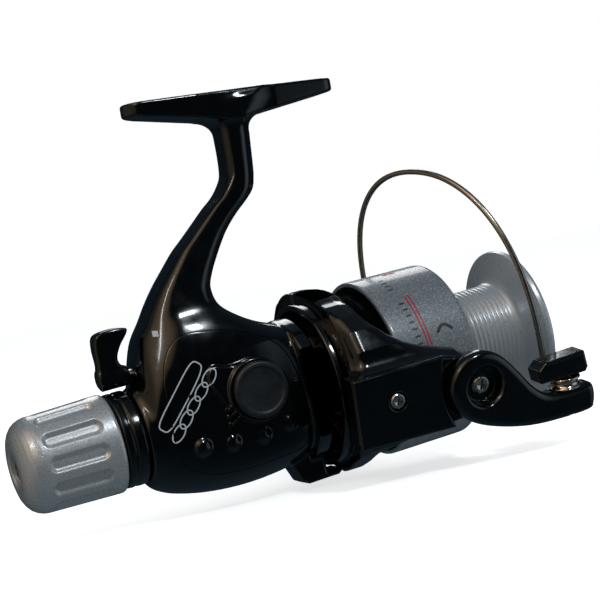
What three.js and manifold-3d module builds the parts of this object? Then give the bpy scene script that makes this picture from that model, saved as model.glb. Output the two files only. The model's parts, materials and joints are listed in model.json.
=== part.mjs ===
// A rear-drag spinning reel, in millimetres, with +Z up and +X towards the rod tip.
// The origin is the middle of the foot's flat top face, which seats against the rod.
// Everything under the foot is drawn in the shaft frame: its X axis is the main shaft's
// axis, Y runs across the reel (the handle is on the +Y side) and Z points at the foot.
// The shaft frame is then turned a few degrees about Y, because the foot is not parallel
// to the shaft. The rotor, with its bail, is stored part way round its turn.
import * as THREE from "three";
import { mergeVertices } from "three/addons/utils/BufferGeometryUtils.js";
import Module from "manifold-3d";

const wasm = await Module();
wasm.setup();

// ---- driving dimensions ----
const SHAFT_TILT = THREE.MathUtils.degToRad(4.4);
const ROTOR_REST = THREE.MathUtils.degToRad(12);
const HANDLE_REST = THREE.MathUtils.degToRad(12);
const FOOT_POINT = new THREE.Vector3(-1.9, 0, 88);
const GAP = 0.3;

const FOOT_LENGTH = 64;
const FOOT_HALF_WIDTH = 7.1;
const FOOT_TIP_THICKNESS = 3.8;
const FOOT_ROOT_THICKNESS = 7.2;

const WALL = 2;
const COVER_PLANE = -11.8;
const CRANK_X = -20;
const CRANK_Z = 4.8;
const CRANK_R = 2.5;
const SHAFT_R = 2;
const SHAFT_REAR = -72.5;
const SHAFT_FRONT = 64.5;
const STROKE = 12;

const NECK_REAR = -80;
const NECK_R = 10.4;
const NECK_BORE = 8.9;
const COLLAR_R = 13.5;
const LEVER_Z = 17.2;

const NOSE_R = 10;
const NOSE_FRONT = 8;
const BEARING_R = 8;
const BEARING_BACK = 1.5;
const BEARING_WIDTH = 5;
const PINION_R = 3;
const PINION_TEETH = 9;
const DRIVE_GEAR_TEETH = 45;
const DRIVE_GEAR_R = 13.2;
const SMALL_GEAR_TEETH = 12;
const OSCILLATION_TEETH = 24;
const OSCILLATION_X = -36;
const OSCILLATION_Z = -2;

const ROTOR_BACK = 0.8;
const ROTOR_FRONT = 38;
const ROTOR_R = 22.7;
const ROTOR_BORE = 20.8;
const SHOULDER_R = 27;
const REAR_BORE = 22.3;
const ARM_INNER = 28.3;
const ARM_OUTER = 34.3;
const COVER_OUTER = 36.4;
const LEVER_OUTER = 40;
const PIVOT_X = 37.5;
const PIVOT_Z = -1.4;

const SKIRT_BACK = 19.8;
const SKIRT_FRONT = 44;
const SKIRT_R = 26.1;
const SKIRT_BORE = 24.9;
const DRUM_R = 14.6;
const FLANGE_R = 23.9;
const SPOOL_FRONT = 72;

const KNOB_FRONT = -59.9;
const KNOB_REAR = -88;
const KNOB_R = 14.1;
const KNOB_FLUTES = 12;

const ROLLER_X = 64.6;
const ROLLER_Y = -36.5;
const WIRE_R = 0.85;
const HANDLE_REACH = 46;

// ---- materials ----
const finish = (color, roughness, metalness) =>
  new THREE.MeshStandardMaterial({ color, roughness, metalness });
const black = finish(0x0b0d10, 0.15, 0);
const satinBlack = finish(0x15171a, 0.45, 0);
const silver = finish(0xa7abb0, 0.35, 0.7);
const steel = finish(0xb9b9b4, 0.25, 1);
const brass = finish(0xb08d4a, 0.3, 1);
const zinc = finish(0x8d9196, 0.45, 0.9);
const nylon = finish(0xe6e2d6, 0.6, 0);
const felt = finish(0x6f6a60, 0.95, 0);

// ---- solids from outlines, and the joins and cuts between them ----
const DIRECTIONS = {
  X: new THREE.Matrix4().makeBasis(
    new THREE.Vector3(0, 1, 0), new THREE.Vector3(0, 0, 1), new THREE.Vector3(1, 0, 0)),
  Y: new THREE.Matrix4().makeBasis(
    new THREE.Vector3(0, 0, 1), new THREE.Vector3(1, 0, 0), new THREE.Vector3(0, 1, 0)),
  Z: new THREE.Matrix4(),
};

function signedVolume(position, index) {
  const a = new THREE.Vector3();
  const b = new THREE.Vector3();
  const c = new THREE.Vector3();
  let volume = 0;
  for (let i = 0; i < index.length; i += 3) {
    a.fromArray(position, 3 * index[i]);
    b.fromArray(position, 3 * index[i + 1]);
    c.fromArray(position, 3 * index[i + 2]);
    volume += a.dot(b.cross(c)) / 6;
  }
  return volume;
}

function toManifold(geometry) {
  const bare = geometry.clone();
  bare.deleteAttribute("normal");
  bare.deleteAttribute("uv");
  const merged = mergeVertices(bare, 1e-4);
  const vertProperties = Float32Array.from(merged.attributes.position.array);
  const kept = [];
  const source = merged.index.array;
  for (let i = 0; i < source.length; i += 3) {
    const [a, b, c] = [source[i], source[i + 1], source[i + 2]];
    if (a !== b && b !== c && c !== a) kept.push(a, b, c);
  }
  const triVerts = Uint32Array.from(kept);
  if (signedVolume(vertProperties, triVerts) < 0) {
    for (let i = 0; i < triVerts.length; i += 3) {
      [triVerts[i], triVerts[i + 1]] = [triVerts[i + 1], triVerts[i]];
    }
  }
  return new wasm.Manifold(new wasm.Mesh({ numProp: 3, vertProperties, triVerts }));
}

function fromManifold(solid) {
  const mesh = solid.getMesh();
  const geometry = new THREE.BufferGeometry();
  geometry.setAttribute("position", new THREE.BufferAttribute(Float32Array.from(mesh.vertProperties), 3));
  geometry.setIndex(new THREE.BufferAttribute(Uint32Array.from(mesh.triVerts), 1));
  return geometry;
}

const join = (first, ...rest) => fromManifold(
  rest.reduce((solid, next) => solid.add(toManifold(next)), toManifold(first)));
const cut = (first, ...rest) => fromManifold(
  rest.reduce((solid, next) => solid.subtract(toManifold(next)), toManifold(first)));
const common = (first, second) => fromManifold(toManifold(first).intersect(toManifold(second)));

// A shape drawn in the two axes after the given one (Y-Z for X, Z-X for Y, X-Y for Z).
function prism(axis, shape, from, to, steps = 8) {
  const settings = { depth: to - from, bevelEnabled: false, curveSegments: steps };
  const geometry = new THREE.ExtrudeGeometry(shape, settings);
  geometry.translate(0, 0, from);
  return geometry.applyMatrix4(DIRECTIONS[axis]);
}

// A plate across the reel, whose outline is given as [x, z] pairs.
function plate(outline, from, to, smooth = false) {
  return prism("Y", outlineShape(outline.map(([x, z]) => [z, x]), smooth), from, to);
}

function outlineShape(points, smooth = false) {
  const corners = points.map(([a, b]) => new THREE.Vector2(a, b));
  if (!smooth) return new THREE.Shape(corners);
  const loop = corners.map((corner) => new THREE.Vector3(corner.x, corner.y, 0));
  const curve = new THREE.CatmullRomCurve3(loop, true);
  const rounded = curve.getPoints(3 * points.length).slice(0, -1);
  return new THREE.Shape(rounded.map((point) => new THREE.Vector2(point.x, point.y)));
}

// A solid of revolution about the given axis, from [along, radius] pairs. The profile
// either starts and ends on the axis or is closed by the caller's last pair.
function turned(axis, profile, segments = 20) {
  const lathe = new THREE.LatheGeometry(profile.map(([along, r]) => new THREE.Vector2(r, along)), segments);
  lathe.rotateX(Math.PI / 2);
  return lathe.applyMatrix4(DIRECTIONS[axis]);
}

const rod = (axis, radius, from, to, segments = 16) =>
  turned(axis, [[from, 0], [from, radius], [to, radius], [to, 0]], segments);
const tube = (axis, bore, radius, from, to, segments = 20) =>
  turned(axis, [[from, bore], [from, radius], [to, radius], [to, bore], [from, bore]], segments);

function box(x0, x1, y0, y1, z0, z1) {
  const geometry = new THREE.BoxGeometry(x1 - x0, y1 - y0, z1 - z0);
  return geometry.translate((x0 + x1) / 2, (y0 + y1) / 2, (z0 + z1) / 2);
}

// A skin through closed rings with the same number of points, capped at both ends.
function loft(rings) {
  const count = rings[0].length;
  const points = rings.flat();
  const triangles = [];
  for (let i = 0; i + 1 < rings.length; i += 1) {
    for (let j = 0; j < count; j += 1) {
      const a = i * count + j;
      const b = i * count + (j + 1) % count;
      triangles.push(a, b, a + count, b, b + count, a + count);
    }
  }
  const last = (rings.length - 1) * count;
  for (let j = 1; j + 1 < count; j += 1) {
    triangles.push(0, j + 1, j, last, last + j, last + j + 1);
  }
  const geometry = new THREE.BufferGeometry().setFromPoints(points);
  geometry.setIndex(triangles);
  return geometry;
}

// A ring shaped between an ellipse (power 2) and a rectangle (high power).
function superellipse(place, halfA, halfB, power, count = 24) {
  const ring = [];
  for (let i = 0; i < count; i += 1) {
    const angle = 2 * Math.PI * i / count;
    const c = Math.cos(angle);
    const s = Math.sin(angle);
    ring.push(place(
      halfA * Math.sign(c) * Math.abs(c) ** (2 / power),
      halfB * Math.sign(s) * Math.abs(s) ** (2 / power)));
  }
  return ring;
}

function gearShape(teeth, rootR, tipR, phase = 0) {
  const points = [];
  const pitch = 2 * Math.PI / teeth;
  for (let i = 0; i < teeth; i += 1) {
    for (const [step, r] of [[-0.27, rootR], [-0.13, tipR], [0.13, tipR], [0.27, rootR]]) {
      const angle = phase + (i + step) * pitch;
      points.push([r * Math.cos(angle), r * Math.sin(angle)]);
    }
  }
  return outlineShape(points);
}

const circleHole = (radius) => new THREE.Path().absarc(0, 0, radius, 0, 2 * Math.PI, true);

function nutShape(radius, bore) {
  const corners = [0, 1, 2, 3, 4, 5].map((i) => [
    radius * Math.cos(i * Math.PI / 3), radius * Math.sin(i * Math.PI / 3)]);
  const shape = outlineShape(corners);
  shape.holes.push(circleHole(bore));
  return shape;
}

// A cross-head screw along an axis: its head's outer face is at "face", and the shank
// runs from the head towards "tip".
function screw(axis, face, tip, headR, shankR) {
  const way = Math.sign(tip - face);
  const seat = face + way * 0.45 * headR;
  const body = turned(axis, [
    [face, 0], [face, 0.72 * headR], [face + way * 0.2 * headR, headR], [seat, headR], [seat, shankR],
    [tip, shankR], [tip, 0]], 14);
  const slots = [[1.2, 0.32], [0.32, 1.2]].map(([a, b]) => {
    const arm = outlineShape([[-a / 2, -b / 2], [a / 2, -b / 2], [a / 2, b / 2], [-a / 2, b / 2]]
      .map(([u, v]) => [u * headR, v * headR]));
    return prism(axis, arm, Math.min(face - way, face + way * 0.35 * headR),
      Math.max(face - way, face + way * 0.35 * headR));
  });
  return cut(body, ...slots);
}

// A wire coil along an axis.
function coil(axis, radius, wireR, from, to, turns) {
  class Helix extends THREE.Curve {
    getPoint(t) {
      const angle = 2 * Math.PI * turns * t;
      return new THREE.Vector3(
        radius * Math.cos(angle), radius * Math.sin(angle), from + wireR + (to - from - 2 * wireR) * t);
    }
  }
  return sweep(new Helix(), wireR, 9 * turns, 5).applyMatrix4(DIRECTIONS[axis]);
}

function sweep(curve, radius, steps, sides = 8) {
  const section = outlineShape(Array.from({ length: sides }, (_, i) => [
    radius * Math.cos(2 * Math.PI * i / sides), radius * Math.sin(2 * Math.PI * i / sides)]));
  return new THREE.ExtrudeGeometry(section, { steps, extrudePath: curve, bevelEnabled: false });
}

// ---- groups and named parts ----
const reel = new THREE.Group();
const mechanism = new THREE.Group();
mechanism.rotation.y = -SHAFT_TILT;
mechanism.position.copy(FOOT_POINT).negate().applyAxisAngle(new THREE.Vector3(0, 1, 0), -SHAFT_TILT);
reel.add(mechanism);
const rotorGroup = new THREE.Group();
rotorGroup.rotation.x = ROTOR_REST;
mechanism.add(rotorGroup);
const crankGroup = new THREE.Group();
crankGroup.position.set(CRANK_X, 0, CRANK_Z);
mechanism.add(crankGroup);
const handleGroup = new THREE.Group();
handleGroup.rotation.y = HANDLE_REST;
crankGroup.add(handleGroup);

// Every part goes through the solid library once, so that its faces all point outwards.
function add(parent, name, geometry, material) {
  const flat = fromManifold(toManifold(geometry)).toNonIndexed();
  flat.computeVertexNormals();
  const mesh = new THREE.Mesh(flat, material);
  mesh.name = name;
  parent.add(mesh);
}

// ---- housing: case, stem, foot, rear neck and front nose ----
// Each case station is x, lowest z, highest z, half width and squareness.
const CASE_STATIONS = [
  [-53, -14.6, 13.2, 13.2, 2], [-50.2, -16.8, 13.8, 13.6, 2.2], [-49.4, -17.2, 20, 13.8, 2.4],
  [-46, -18.6, 25, 14.2, 2.7], [-38, -20.4, 28, 14.6, 3], [-28, -21.3, 28, 15, 3.2],
  [-18, -21, 25, 15, 3.2], [-10, -19.8, 22, 14.8, 3.2], [-4, -17.7, 19.6, 14.4, 2.9],
];
// Each stem station is z, rear x, front x and half width.
const STEM_STATIONS = [
  [17, -47, -10, 13], [25, -45.6, -17.5, 11.8], [30, -43, -21.6, 10.2], [35, -39.6, -22.3, 8.9],
  [39, -36.3, -20.6, 8.2], [43, -32.5, -18, 7.6], [47, -28.6, -15.1, 7.1], [50, -24.9, -12.6, 6.8],
  [53.4, -20.8, -9, 6.5], [57, -16.5, -4.4, 6.4], [59.6, -13, -1.9, 6.3], [62.8, -10.1, -0.8, 6.3],
  [66, -8.6, -0.2, 6.3], [74, -7.8, 0.9, 6.4], [79, -8.1, 1.8, 6.6], [83, -12, 6, 6.8],
];
const COVER_OUTLINE = [
  [-46, 2], [-45, -9], [-38, -14.5], [-27, -16], [-16, -15.6], [-8.6, -14.4], [-6.9, -8], [-6.6, 4],
  [-10, 15], [-19, 21], [-29, 24], [-38.5, 24], [-44.6, 16],
];

function caseSkin(inset, stations) {
  return loft(stations.map(([x, low, high, width, power]) => superellipse(
    (y, z) => new THREE.Vector3(x, y, (low + high) / 2 + z),
    width - inset, (high - low) / 2 - inset, power)));
}

function stemSkin() {
  return loft(STEM_STATIONS.map(([z, rear, front, width]) => superellipse(
    (x, y) => new THREE.Vector3((rear + front) / 2 + x, y, z), (front - rear) / 2, width, 4, 16)));
}

function footBlock() {
  const half = FOOT_LENGTH / 2;
  const side = plate([
    [-half, 0], [half, 0], [half, -FOOT_TIP_THICKNESS + 0.8], [half - 1, -FOOT_TIP_THICKNESS],
    [10, -FOOT_ROOT_THICKNESS], [-10, -FOOT_ROOT_THICKNESS], [-half + 1, -FOOT_TIP_THICKNESS],
    [-half, -FOOT_TIP_THICKNESS + 0.8]], -10, 10);
  const narrow = 0.8 * FOOT_HALF_WIDTH;
  const plan = new THREE.Shape();
  plan.moveTo(-half + 3, -narrow);
  plan.lineTo(-12, -FOOT_HALF_WIDTH);
  plan.lineTo(12, -FOOT_HALF_WIDTH);
  plan.lineTo(half - 3, -narrow);
  plan.quadraticCurveTo(half, -narrow, half, 0);
  plan.quadraticCurveTo(half, narrow, half - 3, narrow);
  plan.lineTo(12, FOOT_HALF_WIDTH);
  plan.lineTo(-12, FOOT_HALF_WIDTH);
  plan.lineTo(-half + 3, narrow);
  plan.quadraticCurveTo(-half, narrow, -half, 0);
  plan.quadraticCurveTo(-half, -narrow, -half + 3, -narrow);
  const block = common(side, prism("Z", plan, -12, 1, 6));
  mechanism.updateMatrix();
  return block.applyMatrix4(mechanism.matrix.clone().invert());
}

const atCrank = (geometry) => geometry.translate(CRANK_X, 0, CRANK_Z);
const coverPrism = (grow, from, to) => {
  const centre = [-27, 4];
  const outline = COVER_OUTLINE.map(([x, z]) => {
    const away = new THREE.Vector2(x - centre[0], z - centre[1]);
    away.setLength(away.length() + grow);
    return [centre[0] + away.x, centre[1] + away.y];
  });
  return plate(outline, from, to, true);
};

// The teardrop boss that carries the near end of the crank shaft.
function teardropBoss(from, to) {
  const outline = [
    [-11.4, 4.8], [-12.6, 0.6], [-16, -2.8], [-20.5, -4], [-25, -2.6], [-29, 1.2], [-31.6, 6],
    [-33.4, 11.4], [-31.4, 14.4], [-26.6, 13.4], [-20.5, 13.4], [-15.4, 12], [-12.4, 9]];
  return plate(outline, from, to, true);
}

const DOME_PLACES = [[-38.8, -6.4], [-30.2, -7.4], [-21.2, -7.9], [-12.9, -6.6]];
const coverDomes = () => DOME_PLACES.map(([x, z]) => {
  const dome = new THREE.SphereGeometry(3.4, 12, 8);
  const outer = box(x - 4, x + 4, -20, COVER_PLANE - GAP, z - 4, z + 4);
  return common(dome.translate(x, -12.2, z), outer);
});

// The lug under the case, behind the rotor's lowest point.
const frontLug = () => plate([
  [-12.5, -17], [-9, -25.8], [-7, -27], [2.6, -26.8], [3.8, -26], [3.8, -24.9], [-0.8, -24.9],
  [-0.8, -20], [-3.6, -17]], -4.5, 4.5);

function housingOutside() {
  const neck = rod("X", NECK_R, NECK_REAR, -48, 24);
  const nose = rod("X", NOSE_R, -8, NOSE_FRONT, 24);
  const frontFlange = rod("X", 21, -5.4, -1.2, 36);
  const handleBoss = atCrank(rod("Y", 8.5, 12, 19.5, 24));
  const trunk = join(caseSkin(0, CASE_STATIONS), stemSkin(), footBlock());
  return join(trunk, neck, nose, frontFlange, handleBoss, frontLug());
}

function housingCavity() {
  const inside = CASE_STATIONS.slice(3).map((station) => [...station]);
  inside[0][0] = -49;
  inside.at(-1)[0] = -6;
  const room = caseSkin(WALL, inside);
  const neckBore = rod("X", NECK_BORE, NECK_REAR - 1, -54.5);
  const rearHole = rod("X", 5.3, -60, -48);
  const pinionHole = rod("X", 4.2, -8, NOSE_FRONT + 1);
  const bearingSeat = rod("X", BEARING_R + GAP, BEARING_BACK - GAP, NOSE_FRONT + 1, 20);
  const leverHole = rod("X", 1.6, -60, 0, 16).translate(0, 0, LEVER_Z);
  const farBush = atCrank(rod("Y", 4.8, 10, 21));
  return join(room, neckBore, rearHole, pinionHole, bearingSeat, leverHole, farBush);
}

const SCREW_PLACES = [[-38.5, 21.4], [-22.5, -13.2], [-9.6, -12.4]];
const coverPost = ([x, z]) => rod("Y", 2.2, -12.6, 12.9, 12).translate(x, 0, z);

function housing() {
  const shell = cut(housingOutside(), housingCavity());
  const posts = SCREW_PLACES.map((place) => coverPost(place));
  const bores = SCREW_PLACES.map(([x, z]) => rod("Y", 1.4, COVER_PLANE - 2, 30, 12).translate(x, 0, z));
  const sinks = SCREW_PLACES.map(([x, z]) => rod("Y", 2.8, 11.4, 30, 12).translate(x, 0, z));
  return cut(join(shell, ...posts), coverPrism(GAP, -30, COVER_PLANE), ...bores, ...sinks);
}

function sideCover() {
  const skin = common(caseSkin(0, CASE_STATIONS), coverPrism(0, -20, COVER_PLANE - GAP));
  const boss = teardropBoss(-16.4, -13.2);
  const hub = atCrank(rod("Y", 9, -17.4, -13.2, 36));
  const bush = atCrank(rod("Y", 4.8, -20, -10));
  const capSeat = atCrank(rod("Y", 6.4, -20, -15.2));
  const floor = atCrank(rod("Y", 6.6, -15.6, -12.3));
  const bores = SCREW_PLACES.map(([x, z]) => rod("Y", 1.4, -12.5, -10, 12).translate(x, 0, z));
  const solid = join(skin, boss, hub, ...coverDomes(), floor);
  return cut(solid, caseSkin(WALL, CASE_STATIONS), bush, capSeat, ...bores);
}

function screwCap() {
  const profile = [
    [-15.5, 0], [-15.5, 6], [-17.7, 6], [-17.7, 8], [-19.1, 8], [-19.6, 7.4],
    [-19.6, 6.3], [-19.2, 6], [-19.2, 0]];
  return atCrank(turned("Y", profile, 28));
}

// ---- anti-reverse: ratchet on the pinion, pawl, thumb lever and its cam rod ----
const PAWL_PIVOT = [9.5, 10];
const RATCHET_BACK = 9.9;
const RATCHET_FRONT = 12.3;

function bearingRetainer() {
  const ring = turned("X", [[8.3, 4.6], [8.3, 11], [9.4, 11], [9.4, 4.6], [8.3, 4.6]], 24);
  const ear = prism("X", outlineShape([[4, 9], [8, 12.6], [11.6, 12], [12, 8], [7, 5]], true), 8.3, 9.4);
  const pin = rod("X", 1.2, 8.6, 12.4, 12).translate(0, ...PAWL_PIVOT);
  return join(ring, ear, pin);
}

function pawl() {
  const outline = outlineShape([
    [12, 9], [11.5, 12], [8.5, 12.4], [3.5, 10.4], [-0.4, 8.6], [-0.2, 8], [6, 8.4], [9.6, 7.6]]);
  const hole = rod("X", 1.5, 9, 13, 12).translate(0, ...PAWL_PIVOT);
  return cut(prism("X", outline, RATCHET_BACK, RATCHET_FRONT - GAP), hole);
}

function camRod() {
  const tab = box(10.1, 12, -1, 1, 13.2, LEVER_Z);
  return join(rod("X", 1.2, -50.3, 12, 12).translate(0, 0, LEVER_Z), tab);
}

function thumbLever() {
  const boss = rod("X", 2.9, -59.2, -50.7, 20).translate(0, 0, LEVER_Z);
  const blade = [
    [-59.2, LEVER_Z], [-58.2, 28.6], [-57, 30.2], [-53, 30.8], [-48.8, 30], [-48.3, 28.6], [-52.6, 22.4],
    [-51, LEVER_Z]];
  return join(boss, plate(blade, -2.6, 2.6));
}

// ---- gear train and oscillation ----
function driveGear() {
  const disc = rod("Y", DRIVE_GEAR_R, -9.8, -6.4, 30);
  const hub = rod("Y", 5, -9.8, -4, 24);
  const teeth = Array.from({ length: DRIVE_GEAR_TEETH }, (_, i) => {
    const tooth = box(DRIVE_GEAR_R - 3.6, DRIVE_GEAR_R - 0.1, -7, -3.7, -0.36, 0.36);
    return tooth.rotateY(2 * Math.PI * i / DRIVE_GEAR_TEETH);
  });
  return cut(join(disc, hub, ...teeth), rod("Y", CRANK_R + GAP, -12, 0));
}

function smallGear() {
  const shape = gearShape(SMALL_GEAR_TEETH, 4.5, 5.9, Math.PI / SMALL_GEAR_TEETH);
  shape.holes.push(circleHole(CRANK_R + GAP));
  return prism("Y", shape, 4.1, 7);
}

function oscillationGear() {
  const shape = gearShape(OSCILLATION_TEETH, 9.9, 11.3);
  shape.holes.push(circleHole(1.8));
  const wheel = prism("Y", shape, 4.4, 6.8);
  const pin = rod("Y", 1.3, 3.9, 5.4, 16).translate(-STROKE / 2, 0, 0);
  return join(wheel, pin).translate(OSCILLATION_X, 0, OSCILLATION_Z);
}

function slider() {
  const centre = OSCILLATION_X - STROKE / 2;
  const block = box(centre - 4.5, centre + 4.5, -3.2, 3.6, -10.5, 6.5);
  const slot = box(centre - 1.7, centre + 1.7, 1.8, 4, -9.4, 5.4);
  const shaftBore = rod("X", SHAFT_R + GAP, centre - 6, centre + 6);
  const railBore = rod("X", 1.5, centre - 6, centre + 6, 16).translate(0, -0.6, -8.2);
  return cut(block, slot, shaftBore, railBore);
}

function pinion() {
  const teeth = prism("X", gearShape(PINION_TEETH, 2.9, 3.4), -13.5, -6.2);
  const sleeve = rod("X", PINION_R, -6.4, 41);
  return cut(join(teeth, sleeve), rod("X", SHAFT_R + GAP, -20, 50));
}

function ballCage() {
  const middle = BEARING_BACK + BEARING_WIDTH / 2;
  const ring = tube("X", 5.4, 6, middle - 0.5, middle + 0.5);
  const balls = Array.from({ length: 7 }, (_, i) => {
    const angle = 2 * Math.PI * i / 7;
    const ball = new THREE.SphereGeometry(0.75, 6, 4);
    return ball.translate(middle, 5.7 * Math.cos(angle), 5.7 * Math.sin(angle));
  });
  return join(ring, ...balls);
}

// ---- rear drag ----
function dragKnob() {
  const shell = turned("X", [
    [-83, 1.7], [-83, 10.9], [KNOB_FRONT, 10.9], [KNOB_FRONT, KNOB_R - 0.6], [KNOB_FRONT - 0.6, KNOB_R],
    [-82, 13.6], [-84.6, 12.8], [-86.6, 11], [KNOB_REAR + 0.2, 8.6], [KNOB_REAR, 6.5], [KNOB_REAR, 5],
    [-85, 4.8], [-85, 1.7], [-83, 1.7]], 36);
  const flutes = Array.from({ length: KNOB_FLUTES }, (_, i) => {
    const bar = new THREE.CapsuleGeometry(2.2, 13, 2, 8).rotateZ(Math.PI / 2);
    bar.translate(-72.4, 0, KNOB_R + 0.9);
    return bar.rotateX(2 * Math.PI * i / KNOB_FLUTES);
  });
  return cut(shell, ...flutes);
}

function dragSleeve() {
  return turned("X", [
    [-74, 2.3], [-74, 3.6], [-57.4, 3.6], [-57.4, 8.4], [-56, 8.4], [-56, 3.6], [-50.6, 3.6], [-50.6, 2.3],
    [-74, 2.3]]);
}

function dragSpindle() {
  const profile = [
    [-82.7, 1.6], [-82.7, 6], [-81.2, 6], [-81.2, 2.4], [-75, 2.4], [-75, 0], [-79.5, 0], [-79.5, 1.6],
    [-82.7, 1.6]];
  return turned("X", profile, 20);
}

// ---- rotor ----
const mirrorAcross = (geometry) => {
  const copy = geometry.clone().applyMatrix4(new THREE.Matrix4().makeScale(1, -1, 1));
  return fromManifold(toManifold(copy));
};

const ARM_OUTLINE = [
  [-0.5, 9], [27, 9], [33, 7.4], [PIVOT_X + 4, 6], [PIVOT_X + 7.6, 2.6], [PIVOT_X + 8.6, -1.4],
  [PIVOT_X + 7.6, -5.6], [PIVOT_X + 4, -9], [33, -10.6], [27, -11], [-0.5, -9.8]];
const WEB_OUTLINE = [
  [4.6, 24], [11, 24], [13, 20.7], [16.5, 16.7], [20.5, 13.7], [26, 10.9], [34, 8.2], [34, -9.4],
  [26, -12], [20.5, -14.4], [13, -18], [4.6, -18]];
const WEB_SECTION = [
  [-13, 24.4], [-19, 23], [-25, 19.8], [-28.8, 14.6], [-30.5, 9], [-30.5, -10], [-28, -14.6],
  [-24, -17], [-13, -19]];
const ARM_SCREW = [11.8, 0.6];

// A round piece across the reel on the bail's pivot axis.
const atPivot = (geometry) => geometry.translate(PIVOT_X, 0, PIVOT_Z);
const atArmScrew = (geometry) => geometry.translate(ARM_SCREW[0], 0, ARM_SCREW[1]);

function rotorBody() {
  const cup = turned("X", [
    [ROTOR_BACK, REAR_BORE], [ROTOR_BACK, 23.4], [1.4, 24], [4.4, 24], [4.4, 26.4], [5, SHOULDER_R],
    [10, SHOULDER_R - 0.2], [13, 25.2], [15.6, 23.1], [17.4, ROTOR_R], [36.6, ROTOR_R],
    [ROTOR_FRONT, 21.4], [ROTOR_FRONT, PINION_R + GAP], [14, PINION_R + GAP], [14, 6], [33.4, 7.4],
    [35.6, 9.6], [35.6, 19.4], [34.2, ROTOR_BORE], [14.6, ROTOR_BORE], [12, REAR_BORE],
    [ROTOR_BACK, REAR_BORE]], 44);
  const web = common(plate(WEB_OUTLINE, -30.5, -13), prism("X", outlineShape(WEB_SECTION), 0, 40));
  const arm = plate(ARM_OUTLINE, -ARM_OUTER, -ARM_INNER);
  const pocket = cut(box(2, 26, -ARM_OUTER - 1, -29.6, -6.5, 5.6), atArmScrew(rod("Y", 3, -40, -28, 20)));
  const limb = cut(join(web, arm),
    rod("X", REAR_BORE + 0.1, -2, 18.8, 44), rod("X", SKIRT_R + 1.2, 18.7, 62, 44), pocket,
    atArmScrew(rod("Y", 1.5, -40, -29, 16)), atPivot(rod("Y", 1.9, -50, -20, 20)));
  return join(cup, limb, mirrorAcross(limb));
}

function armCover() {
  const outline = [
    [-1, 9.6], [27.8, 9.6], [26.9, 5], [26.4, 1], [26.4, -3], [27, -6.5], [28.8, -11.8], [-1, -10.6]];
  const outside = plate(outline, -COVER_OUTER, -ARM_OUTER - GAP);
  return cut(outside, atArmScrew(rod("Y", 2.8, -50, -35, 16)), atArmScrew(rod("Y", 1.5, -50, -30, 16)));
}

const armCoverScrew = () => atArmScrew(screw("Y", -COVER_OUTER + 0.1, -29.4, 2.45, 1.2));
const pivotScrew = (face) => atPivot(screw("Y", face, -26.5, 2.9, 1.6));

// ---- bail: levers, wire, roller ----
const LEVER_OUTLINE = [
  [26.9, -1.4], [27.8, 2.6], [30.4, 5.9], [34, 7.9], [38, 8.4], [42, 7], [45.4, 4], [49, -0.6],
  [52.4, -5.4], [56.2, -8.8], [60, -9.8], [71.6, -9.8], [72.6, -12], [72.2, -15.6], [70.4, -17.4],
  [60.8, -17.6], [50.7, -16.8], [41, -14.4], [33.5, -11.2], [29, -7]];

// The lever is thinner on its inside between its two ends, so that it can swing past the
// arm cover when the bail opens.
function rollerArm() {
  const lever = plate(LEVER_OUTLINE, -LEVER_OUTER, -ARM_OUTER - GAP);
  const rollerEnd = plate([[58.6, -9.8], [71.8, -9.8], [72.2, -16.6], [59, -16.6]], -35.2, -33);
  const aroundPivot = atPivot(rod("Y", 10.9, -50, -20, 36));
  const relief = cut(box(30, 58, -COVER_OUTER - GAP, -30, -20, 10), aroundPivot);
  const recess = atPivot(rod("Y", 5.6, -50, -36, 28));
  const pivotHole = atPivot(rod("Y", 1.9, -50, -20, 20));
  const screwHole = rod("Z", 1.6, -30, 0, 16).translate(ROLLER_X, ROLLER_Y, 0);
  const headSeat = rod("Z", 2.5, -30, -15.4, 20).translate(ROLLER_X, ROLLER_Y, 0);
  return cut(join(cut(lever, relief), rollerEnd), recess, pivotHole, screwHole, headSeat);
}

function wireHolder() {
  const outline = [[55.6, -5.9], [70.6, -5.9], [71.4, -4], [70.6, 0.4], [57.4, 0], [55, -2]];
  const block = plate(outline, -39.8, -32.8);
  const wireHole = rod("Z", WIRE_R + 0.45, -4.5, 5).translate(58.9, -36, 0);
  const screwHole = rod("Z", 1.6, -8, -1.4, 16).translate(ROLLER_X, ROLLER_Y, 0);
  return cut(block, wireHole, screwHole);
}

function lineRoller() {
  const profile = [
    [-9.5, 1.6], [-9.5, 4.6], [-9, 4.8], [-8.5, 4], [-7.6, 4], [-6.8, 4.8], [-6.2, 4.6], [-6.2, 1.6],
    [-9.5, 1.6]];
  return turned("Z", profile, 20).translate(ROLLER_X, ROLLER_Y, 0);
}

const rollerScrew = () => screw("Z", -17, -1.7, 2.2, 1.3).translate(ROLLER_X, ROLLER_Y, 0);

// The wire is half of a squared ellipse from the holder to the far arm, leaning back a
// little and bulging away from the spool.
class BailLoop extends THREE.Curve {
  getPoint(t) {
    const near = new THREE.Vector3(58.9, -36, -3.8);
    const far = new THREE.Vector3(43.7, 36, -6.3);
    const height = 59.5;
    const squareness = 2.15;
    const lean = THREE.MathUtils.degToRad(95.7);
    const shift = 8.3;
    const across = far.clone().sub(near);
    const half = across.length() / 2;
    across.normalize();
    const up = new THREE.Vector3(Math.cos(lean), 0, Math.sin(lean));
    up.addScaledVector(across, -up.dot(across)).normalize();
    const angle = THREE.MathUtils.lerp(0.004, 0.93, t) * Math.PI;
    const c = -Math.sign(Math.cos(angle)) * Math.abs(Math.cos(angle)) ** (2 / squareness);
    const s = Math.sin(angle) ** (2 / squareness);
    const middle = near.add(far).multiplyScalar(0.5);
    return middle.addScaledVector(across, half * c + shift * s * c).addScaledVector(up, height * s);
  }
}

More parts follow.
